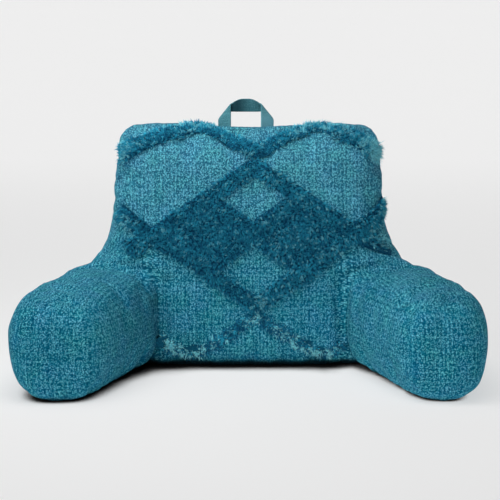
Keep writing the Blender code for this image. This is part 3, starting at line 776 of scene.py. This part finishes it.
def hung(x, y, z):
    """A place on the folded strap as it stands: the top run arches and leans forward, and the legs splay back."""
    half = 0.5 * STRAP_WIDTH
    up = max(0.0, z + half)
    level = max(0.0, min(1.0, (0.030 - abs(x)) / 0.016))
    roll = STRAP_ROLL * level * level * (3.0 - 2.0 * level)
    drop = STRAP_ARCH * min(1.0, abs(x) / STRAP_ARCH_REACH) ** 3.2 * min(1.0, up / STRAP_WIDTH)
    outer = max(0.0, abs(x) - (STRAP_LEG - half))
    across = math.copysign(abs(x) - outer * (1.0 - math.cos(STRAP_SPLAY)), x)
    y += STRAP_Y - up * math.sin(roll) + outer * math.sin(STRAP_SPLAY)
    return Vector((across, y, STRAP_LEVEL + z - up * (1.0 - math.cos(roll)) - drop - STRAP_SLUMP * outer))


def build_strap(tree):
    r = STRAP_FOLD_RADIUS
    reach = STRAP_LEG - math.pi * r / math.sqrt(2.0)
    half = 0.5 * STRAP_WIDTH
    fold_start, fold_end = reach, reach + math.pi * r * math.sqrt(2.0)
    wide = 12
    run, fold, leg = 14, 22, 14
    total = fold_end + STRAP_WIDTH
    stations = [((k / run) * fold_start, k / run) for k in range(run)]
    stations += [(fold_start + (fold_end - fold_start) * k / fold, 1.0) for k in range(fold + 1)]
    stations += [(fold_end + (total - fold_end) * k / leg, 1.0 - k / leg) for k in range(1, leg + 1)]
    rows, flat = [], []
    for sign in (-1.0, 1.0):
        side, places = [], []
        for along, slant in stations:
            row, place = [], []
            for k in range(wide + 1):
                across = -half + STRAP_WIDTH * k / wide
                s = sign * (along - slant * across if along else 1e-9)
                row.append(folded(s, across))
                place.append((s, across))
            side.append(row)
            places.append(place)
        rows = [list(x) for x in reversed(side)] if sign < 0 else rows[:-1] + side
        flat = [list(x) for x in reversed(places)] if sign < 0 else flat[:-1] + places
    for leg_rows in (rows[leg::-1], rows[-leg - 1 :]):
        for k in range(wide + 1):
            start, end = leg_rows[0][k], leg_rows[-1][k]
            hit, _, _, _ = tree.ray_cast(Vector((end.x + STRAP_MIDDLE, end.y, 0.6)), Vector((0, 0, -1.0)))
            for j, row in enumerate(leg_rows):
                row[k].z = start.z + (hit.z - 0.0015 - start.z) * j / leg
    bm = bmesh.new()
    grid = [[bm.verts.new((p.x + STRAP_MIDDLE, p.y, p.z)) for p in row] for row in rows]
    uv = {}
    for grow, frow in zip(grid, flat):
        for v, f in zip(grow, frow):
            uv[v] = f
    for a, b in zip(grid, grid[1:]):
        for k in range(wide):
            bm.faces.new((a[k], a[k + 1], b[k + 1], b[k]))
    bmesh.ops.recalc_face_normals(bm, faces=bm.faces)
    bm.verts.index_update()
    places = np.array([(uv[v][0], uv[v][1], 0.0) for v in bm.verts])
    mesh = bpy.data.meshes.new("strap_tape")
    bm.to_mesh(mesh)
    area = sum(f.calc_area() for f in bm.faces)
    bm.free()
    a = mesh.attributes.new("tape_place", "FLOAT_VECTOR", "POINT")
    a.data.foreach_set("vector", places.astype(np.float32).ravel())
    strap = link(bpy.data.objects.new("strap_tape", mesh))
    sheet = tree_of(mesh)
    thick = strap.modifiers.new("cloth", "SOLIDIFY")
    thick.thickness = STRAP_THICK
    thick.offset = 0.0
    thick.use_even_offset = True
    round_ = strap.modifiers.new("round", "BEVEL")
    round_.width = 0.0005
    round_.segments = 2
    round_.limit_method = "ANGLE"
    round_.angle_limit = math.radians(50)
    done = evaluated(strap, "strap_tape_done")
    strap.modifiers.clear()
    strap.data = done
    # painted shade: one side of the tape is marked, to be darkened in the material: it shows on the top run, and the
    # fold turns it away on the legs
    co, back = coordinates(done), []
    for c in co:
        near, normal, _, _ = sheet.find_nearest(Vector(c))
        back.append((Vector(c) - near).dot(normal))
    back = np.array(back)
    top_run = np.abs(co[:, 0] - STRAP_MIDDLE) < 0.010
    lean = co[:, 1] + (co[:, 2] - co[top_run, 2].mean()) * math.tan(STRAP_ROLL)
    front = lean < lean[top_run].mean()
    sign = 1.0 if back[top_run & front].mean() > 0 else -1.0
    put_attribute(done, "tape_shaded_side", np.clip(sign * back / (0.5 * STRAP_THICK), -1.0, 1.0))
    done.shade_smooth()
    length = area / STRAP_WIDTH
    print("strap length %.3f" % length)
    return strap, length


# ---- materials ------------------------------------------------------------------------------------------------------
class Nodes:
    """Short ways of adding shader nodes to a tree."""

    def __init__(self, tree):
        self.tree = tree

    def add(self, kind, inputs=(), **settings):
        n = self.tree.nodes.new("ShaderNode" + kind)
        for key, value in settings.items():
            setattr(n, key, value)
        for key, value in dict(inputs).items():
            self.set(n.inputs[key], value)
        return n

    def set(self, socket, value):
        if isinstance(value, bpy.types.NodeSocket):
            self.tree.links.new(value, socket)
        else:
            socket.default_value = value

    def math(self, operation, a, b=None, clamp=False):
        n = self.add("Math", operation=operation, use_clamp=clamp)
        self.set(n.inputs[0], a)
        if b is not None:
            self.set(n.inputs[1], b)
        return n.outputs[0]

    def vector(self, operation, a, b=None, scale=None):
        n = self.add("VectorMath", operation=operation)
        self.set(n.inputs[0], a)
        if b is not None:
            self.set(n.inputs[1], b)
        if scale is not None:
            self.set(n.inputs["Scale"], scale)
        return n.outputs[0]

    def mix(self, factor, a, b, way="MIX"):
        n = self.add("Mix", data_type="RGBA", blend_type=way)
        self.set(n.inputs[0], factor)
        self.set(n.inputs[6], a)
        self.set(n.inputs[7], b)
        return n.outputs[2]

    def blend(self, factor, a, b):
        n = self.add("Mix", data_type="FLOAT")
        self.set(n.inputs[0], factor)
        self.set(n.inputs[2], a)
        self.set(n.inputs[3], b)
        return n.outputs[0]

    def ramp(self, value, stops):
        n = self.add("ValToRGB")
        e = n.color_ramp.elements
        while len(e) < len(stops):
            e.new(0.5)
        for el, (place, colour) in zip(e, stops):
            el.position = place
            el.color = colour if isinstance(colour, tuple) else (colour, colour, colour, 1)
        self.set(n.inputs[0], value)
        return n.outputs[0]

    def separate(self, vector):
        n = self.add("SeparateXYZ")
        self.set(n.inputs[0], vector)
        return n.outputs

    def combine(self, x, y, z=0.0):
        n = self.add("CombineXYZ")
        for socket, value in zip(n.inputs, (x, y, z)):
            self.set(socket, value)
        return n.outputs[0]


def weave_group(name, pitch_warp, pitch_weft, slub, every_warp=5.0, every_weft=5.0):
    """A crepe weave: short floats of uneven warp and weft yarns, one yarn in a few thicker than the rest.
    In: a flat place in metres. Out: height, tone from about -1 to 1, and fleck."""
    g = bpy.data.node_groups.new(name, "ShaderNodeTree")
    g.interface.new_socket("Place", in_out="INPUT", socket_type="NodeSocketVector")
    for out in ("Height", "Tone", "Fleck"):
        g.interface.new_socket(out, in_out="OUTPUT", socket_type="NodeSocketFloat")
    k = Nodes(g)
    gi = g.nodes.new("NodeGroupInput")
    go = g.nodes.new("NodeGroupOutput")
    # yarns wander a little
    wander = k.add("TexNoise", {"Vector": gi.outputs[0], "Scale": 60.0, "Detail": 1.0}, noise_dimensions="2D")
    shift = k.vector("SUBTRACT", wander.outputs["Color"], (0.5, 0.5, 0.5))
    place = k.vector("ADD", gi.outputs[0], k.vector("SCALE", shift, scale=0.0006))
    x, y, _ = k.separate(place)
    u, v = k.math("DIVIDE", x, pitch_warp), k.math("DIVIDE", y, pitch_weft)
    iu, iv = k.math("FLOOR", u), k.math("FLOOR", v)
    fu = k.math("SUBTRACT", k.math("SUBTRACT", u, iu), 0.5)
    fv = k.math("SUBTRACT", k.math("SUBTRACT", v, iv), 0.5)

    def white(a, b):
        return k.add("TexWhiteNoise", {"Vector": k.combine(a, b)}, noise_dimensions="2D").outputs["Value"]

    # warp floats one to three threads long lie over the weft, at places that differ from yarn to yarn
    offset = k.math("MULTIPLY", white(iu, 0.5), 3.0)
    cell = k.math("FLOOR", k.math("DIVIDE", k.math("ADD", iv, offset), 1.5))
    chance = white(iu, k.math("ADD", cell, 0.25))
    over = k.math("GREATER_THAN", chance, 0.5)

    def yarn(across, along):
        round_ = k.math("SUBTRACT", 1.0, k.math("POWER", k.math("ABSOLUTE", k.math("MULTIPLY", across, 2.0)), 2.2))
        crown = k.math("COSINE", k.math("MULTIPLY", along, math.pi))
        return k.math("MULTIPLY", round_, k.math("ADD", k.math("MULTIPLY", crown, 0.3), 0.7))

    height = k.blend(over, yarn(fv, fu), yarn(fu, fv))

    def shade(line, along, seed, lift, every, ribs):
        """A yarn's shade: slubs a few threads long, a slow drift of the whole yarn, and a thicker yarn every so often."""
        slubs = k.add(
            "TexNoise",
            {"Vector": k.combine(k.math("ADD", k.math("MULTIPLY", line, 7.31), seed), k.math("MULTIPLY", along, 0.70)), "Scale": 1.0, "Detail": 1.0},
            noise_dimensions="2D",
        ).outputs[0]
        whole = white(k.math("ADD", line, 0.5), seed)
        step = k.math("FRACT", k.math("DIVIDE", k.math("ADD", line, k.math("MULTIPLY", k.math("SUBTRACT", whole, 0.5), 0.8)), every))
        peak = k.math("SUBTRACT", 1.0, k.math("MULTIPLY", k.math("ABSOLUTE", k.math("SUBTRACT", step, 0.5)), 2.0))
        thick = k.math("SUBTRACT", k.math("MULTIPLY", k.math("POWER", peak, 2.5), 2.4), 0.69)
        tone = k.math("MULTIPLY", k.math("SUBTRACT", slubs, 0.5), 1.7)
        tone = k.math("ADD", tone, k.math("MULTIPLY", thick, ribs))
        tone = k.math("ADD", tone, k.math("MULTIPLY", k.math("SUBTRACT", whole, 0.5), 0.7))
        return k.math("ADD", tone, lift)

    warp, weft = shade(iu, v, 0.3, 0.10, every_warp, 0.68), shade(iv, u, 41.7, -0.10, every_weft, 0.46)
    on_top = k.blend(over, k.blend(0.3, weft, warp), k.blend(0.3, warp, weft))
    yarn_tone = k.math("MULTIPLY", on_top, slub)
    spot = k.math("SUBTRACT", white(k.math("ADD", iu, 0.5), k.math("ADD", iv, 0.5)), 0.5)
    spot = k.math("SUBTRACT", k.math("POWER", k.math("ADD", spot, 0.5), 2.0), 0.333)
    tone = k.math("ADD", yarn_tone, k.math("MULTIPLY", spot, 3.4 * slub))
    fleck = k.ramp(chance, ((0.935, 0.0), (0.96, 1.0)))
    g.links.new(k.math("MULTIPLY", k.math("ADD", 1.0, k.math("MULTIPLY", yarn_tone, 0.30)), height), go.inputs["Height"])
    g.links.new(tone, go.inputs["Tone"])
    g.links.new(fleck, go.inputs["Fleck"])
    return g


def new_material(name):
    m = bpy.data.materials.new(name)
    m.use_nodes = True
    k = Nodes(m.node_tree)
    return m, k, m.node_tree.nodes["Principled BSDF"]


def cloth_material():
    """Slubby tweed of mixed teal yarns. The weave follows the form from three sides."""
    m, k, p = new_material("slub_tweed")
    g = weave_group("slub_weave", 0.00124, 0.00127, 1.0, 5.1, 6.2)
    place = k.add("Attribute", attribute_name="cloth_place").outputs["Vector"]
    x, y, z = k.separate(place)
    nx, ny, nz = k.separate(k.add("NewGeometry").outputs["Normal"])
    weights = []
    for n in (nx, ny, nz):
        weights.append(k.math("POWER", k.math("ABSOLUTE", n), 10.0))
    total = k.math("ADD", k.math("ADD", weights[0], weights[1]), weights[2])
    flats = (k.combine(y, z), k.combine(x, z), k.combine(x, y))
    sums = {}
    for w, flat, shift in zip(weights, flats, ((0.31, 0.17, 0), (0, 0, 0), (0.13, 0.41, 0))):
        node = k.add("Group", node_tree=g)
        k.set(node.inputs[0], k.vector("ADD", flat, shift))
        share = k.math("DIVIDE", w, total)
        for out in ("Height", "Tone", "Fleck"):
            part = k.math("MULTIPLY", node.outputs[out], share)
            sums[out] = part if out not in sums else k.math("ADD", sums[out], part)
    drift = k.add("TexNoise", {"Vector": place, "Scale": 9.0, "Detail": 2.0}).outputs[0]
    # the upper panel is woven in more contrast than the arms
    contrast = k.add("MapRange", {"Value": z, "From Min": 0.12, "From Max": 0.24, "To Min": 0.335, "To Max": 0.50}).outputs[0]
    value = k.math("ADD", k.math("MULTIPLY", sums["Tone"], contrast), 0.375)
    value = k.math("ADD", value, k.math("MULTIPLY", k.math("SUBTRACT", drift, 0.5), 0.24))
    value = k.math("ADD", value, k.math("MULTIPLY", k.math("SUBTRACT", sums["Height"], 0.5), 0.45), clamp=True)
    deep, body, light, white = (0.0008, 0.085, 0.165, 1), (0.006, 0.191, 0.306, 1), (0.047, 0.362, 0.500, 1), (0.17, 0.64, 0.78, 1)
    colour = k.ramp(value, ((0.0, deep), (0.45, body), (0.75, light), (1.0, white)))
    hue = k.add("TexNoise", {"Vector": place, "Scale": 34.0, "Detail": 1.0}).outputs[0]
    hue = k.math("ADD", k.math("MULTIPLY", k.math("SUBTRACT", hue, 0.5), 2.2), 0.5, clamp=True)
    colour = k.mix(1.0, colour, k.mix(hue, (0.90, 1.03, 0.94, 1), (1.10, 0.97, 1.06, 1)), "MULTIPLY")
    colour = k.mix(k.math("MULTIPLY", sums["Fleck"], 0.50), colour, (0.13, 0.52, 0.64, 1))
    # painted light: the upper panel is mixed a little paler upwards, as the light from above leaves it
    top_light = k.add("MapRange", {"Value": z, "From Min": 0.14, "From Max": 0.40, "To Min": 0.0, "To Max": 0.16}).outputs[0]
    colour = k.mix(top_light, colour, (0.150, 0.300, 0.380, 1))
    # the stitched line of each seam
    side = k.add("Attribute", attribute_name="seam_side").outputs["Fac"]
    strong = k.add("Attribute", attribute_name="seam_strength").outputs["Fac"]
    line = k.math("SUBTRACT", 1.0, k.math("DIVIDE", k.math("ABSOLUTE", side), 0.0016), clamp=True)
    broken = k.add("TexNoise", {"Vector": place, "Scale": 55.0, "Detail": 1.0}).outputs[0]
    faint = k.ramp(broken, ((0.40, 0.15), (0.60, 1.0)))
    line = k.math("MULTIPLY", line, k.math("MULTIPLY", strong, k.blend(strong, faint, 1.0)))
    colour = k.mix(k.math("MULTIPLY", line, 0.75), colour, (0.006, 0.050, 0.085, 1))
    # painted shade: the cloth is darkened towards near-black at its turned-under foot and on the arms' inner sides, as
    # marked in build_cover
    low = k.add("Attribute", attribute_name="painted_shade").outputs["Fac"]
    colour = k.mix(low, colour, (0.0015, 0.010, 0.015, 1))
    k.set(p.inputs["Base Color"], colour)
    rough = k.math("SUBTRACT", 0.95, k.math("MULTIPLY", sums["Height"], 0.10))
    k.set(p.inputs["Roughness"], rough)
    p.inputs["Specular IOR Level"].default_value = 0.03
    p.inputs["Sheen Weight"].default_value = 0.02
    p.inputs["Sheen Roughness"].default_value = 0.45
    p.inputs["Sheen Tint"].default_value = (0.40, 0.75, 0.85, 1)
    fuzz = k.add("TexNoise", {"Vector": place, "Scale": 1500.0, "Detail": 1.0}).outputs[0]
    relief = k.math("ADD", sums["Height"], k.math("MULTIPLY", fuzz, 0.22))
    relief = k.math("SUBTRACT", relief, k.math("MULTIPLY", line, 1.4))
    bump = k.add("Bump", {"Height": relief, "Strength": 0.70, "Distance": 0.0006})
    k.set(p.inputs["Normal"], bump.outputs[0])
    return m


def pile_material():
    m, k, p = new_material("cut_pile_yarn")
    height = k.add("Attribute", attribute_name="pile_height").outputs["Fac"]
    tone = k.add("Attribute", attribute_name="pile_tone_and_shade").outputs["Fac"]
    light = k.add("Attribute", attribute_name="pile_light").outputs["Fac"]
    root, mid = (0.002, 0.065, 0.140, 1), (0.007, 0.190, 0.350, 1)
    dark_tip, light_tip, pale = (0.005, 0.145, 0.290, 1), (0.050, 0.640, 0.880, 1), (0.340, 0.930, 1.000, 1)
    tip = k.mix(k.math("ADD", k.math("MULTIPLY", tone, 0.38), 0.36, clamp=True), dark_tip, light_tip)
    # painted shade: each strand is darkened towards its root, as deep in the pile
    low = k.mix(k.math("MULTIPLY", height, 1.65, clamp=True), root, mid)
    colour = k.mix(k.math("POWER", height, 1.7), low, tip)
    colour = k.mix(k.math("MULTIPLY", light, k.math("POWER", height, 1.2)), colour, pale)
    k.set(p.inputs["Base Color"], colour)
    p.inputs["Roughness"].default_value = 0.9
    p.inputs["Specular IOR Level"].default_value = 0.2
    p.inputs["Sheen Weight"].default_value = 0.05
    p.inputs["Sheen Roughness"].default_value = 0.4
    p.inputs["Sheen Tint"].default_value = (0.3, 0.75, 0.9, 1)
    place = k.add("TexCoord").outputs["Object"]
    fibre = k.add("TexNoise", {"Vector": place, "Scale": 2400.0, "Detail": 1.0}).outputs[0]
    bump = k.add("Bump", {"Height": fibre, "Strength": 0.4, "Distance": 0.0003})
    k.set(p.inputs["Normal"], bump.outputs[0])
    return m


def ground_material():
    m, k, p = new_material("pile_foot")
    place = k.add("TexCoord").outputs["Object"]
    # painted shade: the foot is coloured near-black teal, darkest at the edges of each tuft cell, as the shade deep
    # among the yarn ends
    tuft = k.add("TexVoronoi", {"Vector": place, "Scale": 420.0})
    value = k.math("SUBTRACT", 1.0, tuft.outputs["Distance"], clamp=True)
    colour = k.ramp(value, ((0.0, (0.001, 0.030, 0.065, 1)), (1.0, (0.005, 0.110, 0.210, 1))))
    # under the thin base zigzag the cloth shows
    _, _, z = k.separate(place)
    thin = k.add("MapRange", {"Value": z, "From Min": 0.100, "From Max": 0.112, "To Min": 0.55, "To Max": 0.0}).outputs[0]
    colour = k.mix(thin, colour, k.ramp(value, ((0.0, (0.002, 0.070, 0.130, 1)), (1.0, (0.010, 0.180, 0.280, 1)))))
    k.set(p.inputs["Base Color"], colour)
    p.inputs["Roughness"].default_value = 0.95
    p.inputs["Specular IOR Level"].default_value = 0.1
    bump = k.add("Bump", {"Height": value, "Strength": 0.8, "Distance": 0.0012})
    k.set(p.inputs["Normal"], bump.outputs[0])
    return m


def strap_material():
    m, k, p = new_material("strap_weave")
    g = weave_group("strap_fine_weave", 0.0011, 0.0009, 0.60)
    place = k.add("Attribute", attribute_name="tape_place").outputs["Vector"]
    node = k.add("Group", node_tree=g)
    k.set(node.inputs[0], place)
    value = k.math("ADD", k.math("MULTIPLY", node.outputs["Tone"], 0.35), 0.3)
    value = k.math("ADD", value, k.math("MULTIPLY", node.outputs["Height"], 0.35), clamp=True)
    colour = k.ramp(value, ((0.0, (0.034, 0.145, 0.180, 1)), (0.5, (0.068, 0.255, 0.305, 1)), (1.0, (0.14, 0.38, 0.43, 1))))
    # painted shade: on the top run the marked side of the tape is darkened, most at its left end
    back = k.add("Attribute", attribute_name="tape_shaded_side").outputs["Fac"]
    along, _, _ = k.separate(place)
    dark = k.add("MapRange", {"Value": along, "From Min": -0.016, "From Max": 0.010, "To Min": 0.92, "To Max": 0.20}, interpolation_type="SMOOTHSTEP").outputs[0]
    colour = k.mix(k.math("MULTIPLY", k.math("GREATER_THAN", back, 0.0), dark), colour, (0.008, 0.050, 0.070, 1))
    # painted light: the right leg is mixed paler, as if turned to the light
    right = k.add("MapRange", {"Value": along, "From Min": 0.030, "From Max": 0.055, "To Min": 0.0, "To Max": 0.62}).outputs[0]
    colour = k.mix(right, colour, (0.230, 0.560, 0.660, 1))
    k.set(p.inputs["Base Color"], colour)
    p.inputs["Roughness"].default_value = 0.85
    p.inputs["Specular IOR Level"].default_value = 0.25
    p.inputs["Sheen Weight"].default_value = 0.06
    p.inputs["Sheen Roughness"].default_value = 0.4
    bump = k.add("Bump", {"Height": node.outputs["Height"], "Strength": 0.6, "Distance": 0.0003})
    k.set(p.inputs["Normal"], bump.outputs[0])
    return m


def floor_material():
    m, k, p = new_material("studio_paper")
    near = k.add("AmbientOcclusion", {"Distance": 0.024}, samples=16).outputs["AO"]
    wide = k.add("AmbientOcclusion", {"Distance": 0.11}, samples=16).outputs["AO"]
    # the contact shadow is broad beside the left arm, firm under the panel and thin beside the right arm
    x, y, _ = k.separate(k.add("TexCoord").outputs["Object"])
    along = k.add("MapRange", {"Value": x, "From Min": -0.4, "From Max": 0.4}).outputs[0]
    dark = k.ramp(along, ((0.30, 0.08), (0.36, 0.30), (0.66, 0.30), (0.72, 0.02)))
    bare = k.ramp(along, ((0.30, 0.60), (0.36, 0.66), (0.66, 0.66), (0.72, 0.28)))
    contact = k.add("MapRange", {"Value": near, "From Min": dark, "From Max": bare}, interpolation_type="SMOOTHSTEP").outputs[0]
    dark = k.ramp(along, ((0.66, 0.22), (0.72, 0.10)))
    bare = k.ramp(along, ((0.30, 0.46), (0.36, 0.56), (0.66, 0.56), (0.72, 0.23)))
    corner = k.add("MapRange", {"Value": wide, "From Min": dark, "From Max": bare}, interpolation_type="SMOOTHSTEP").outputs[0]
    clear = k.math("MINIMUM", contact, corner)
    paper = k.mix(clear, (0.035, 0.03, 0.028, 1), (0.40, 0.40, 0.40, 1))
    k.set(p.inputs["Base Color"], paper)
    p.inputs["Roughness"].default_value = 1.0
    p.inputs["Specular IOR Level"].default_value = 0.0
    # lit from behind, as a light table is, so that shadows on it stay pale
    glow = k.add("MapRange", {"Value": y, "From Min": 0.2, "From Max": 3.0, "To Min": 0.550, "To Max": 0.600}).outputs[0]
    p.inputs["Emission Color"].default_value = (1, 1, 1, 1)
    k.set(p.inputs["Emission Strength"], k.math("MULTIPLY", glow, clear))
    return m


# ---- stage ----------------------------------------------------------------------------------------------------------
def build_stage():
    """A pale paper sweep: level under the pillow, and curving up behind it."""
    profile = [(-40.0, 0.6), (-40.0, 0.0), (-4.0, 0.0), (3.6, 0.0)]  # a low rise far in front closes the floor
    for k in range(1, 13):
        a = 0.5 * math.pi * k / 12
        profile.append((3.6 + 1.4 * math.sin(a), 1.4 * (1 - math.cos(a))))
    profile.append((5.0, 4.0))
    bm = bmesh.new()
    rows = [[bm.verts.new((x, y, z - 0.0004)) for x in (-40.0, 40.0)] for y, z in profile]
    for a, b in zip(rows, rows[1:]):
        bm.faces.new((a[0], a[1], b[1], b[0]))
    mesh = bpy.data.meshes.new("paper_sweep")
    bm.to_mesh(mesh)
    bm.free()
    mesh.shade_smooth()
    floor = link(bpy.data.objects.new("paper_sweep", mesh))
    mesh.materials.append(floor_material())


LIGHT_COLUMNS = ("name", "kind", "place", "strength", "size")
LIGHTS = (
    ("front_left", "SUN", (-0.30, -0.92, 0.26), 0.71, 50.0),
    ("side_left", "SUN", (-0.84, -0.48, 0.26), 0.36, 50.0),
    ("high", "SUN", (-0.09, -0.24, 0.97), 0.70, 50.0),
    ("over_middle", "AREA", (-0.04, -0.35, 1.15), 2.45, 0.7),
    ("over_left", "AREA", (-0.35, -0.15, 0.90), 2.2, 0.7),
)


def build_light_and_camera():
    scene = bpy.context.scene
    scene.view_settings.view_transform = "Standard"
    scene.view_settings.look = "None"
    world = bpy.data.worlds.new("studio")
    world.use_nodes = True
    scene.world = world
    bg = world.node_tree.nodes["Background"]
    bg.inputs[0].default_value = (1, 1, 1, 1)
    bg.inputs[1].default_value = 0.02

    for name, kind, place, strength, size in LIGHTS:
        light = bpy.data.lights.new(name, kind)
        o = link(bpy.data.objects.new(name, light))
        light.energy = strength
        if kind == "SUN":
            light.angle = math.radians(size)
            o.location, target = place, Vector()
        else:
            light.shape = "DISK"
            light.size = size
            o.location, target = place, Vector((0.3 * place[0], 0.08, 0.25))
        o.rotation_euler = (target - Vector(place)).to_track_quat("-Z", "Y").to_euler()

    data = bpy.data.cameras.new("camera")
    data.sensor_width = 36
    data.lens = 111.0
    data.clip_end = 500
    cam = link(bpy.data.objects.new("camera", data))
    target, far, rise = Vector((0.0025, 0.0335, 0.203)), 2.6, math.radians(9.0)
    cam.location = target + far * Vector((0, -math.cos(rise), math.sin(rise)))
    cam.rotation_euler = (target - cam.location).to_track_quat("-Z", "Y").to_euler()
    scene.camera = cam


# ---- everything -----------------------------------------------------------------------------------------------------
def main():
    for o in list(bpy.data.objects):
        bpy.data.objects.remove(o, do_unlink=True)
    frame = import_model()
    nodes = frame["nodes"]

    cover = build_cover(nodes["pillow_body"])
    cover.data.materials.append(cloth_material())
    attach(cover, "root")
    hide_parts("pillow_body")

    chart = PanelChart(cover.data)
    yarn, foot = pile_material(), ground_material()
    for name, node in (("pile_foot_lattice", "cut_pile_lattice"), ("pile_foot_zigzag", "cut_pile_zigzag")):
        ground = pile_ground(name, nodes[node], chart.tree)
        ground.data.materials.append(foot)
        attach(ground, "root")
        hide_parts(node)
    for k, row in enumerate(rows_of(PILE_COLUMNS, PILE_PIECES)):
        piece = pile_piece(row, chart, np.random.default_rng(SEED + 10 + k))
        piece.data.materials.append(yarn)
        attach(piece, "root")
        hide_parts(row["node"])

    strap, length = build_strap(chart.tree)
    strap.data.materials.append(strap_material())
    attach(strap, "root")
    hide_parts("carry_strap")

    build_stage()
    build_light_and_camera()
    for o in bpy.context.scene.objects:
        if o.type == "MESH" and not o.hide_render:
            print(o.name, sum(len(f.vertices) - 2 for f in o.data.polygons), "triangles")


main()
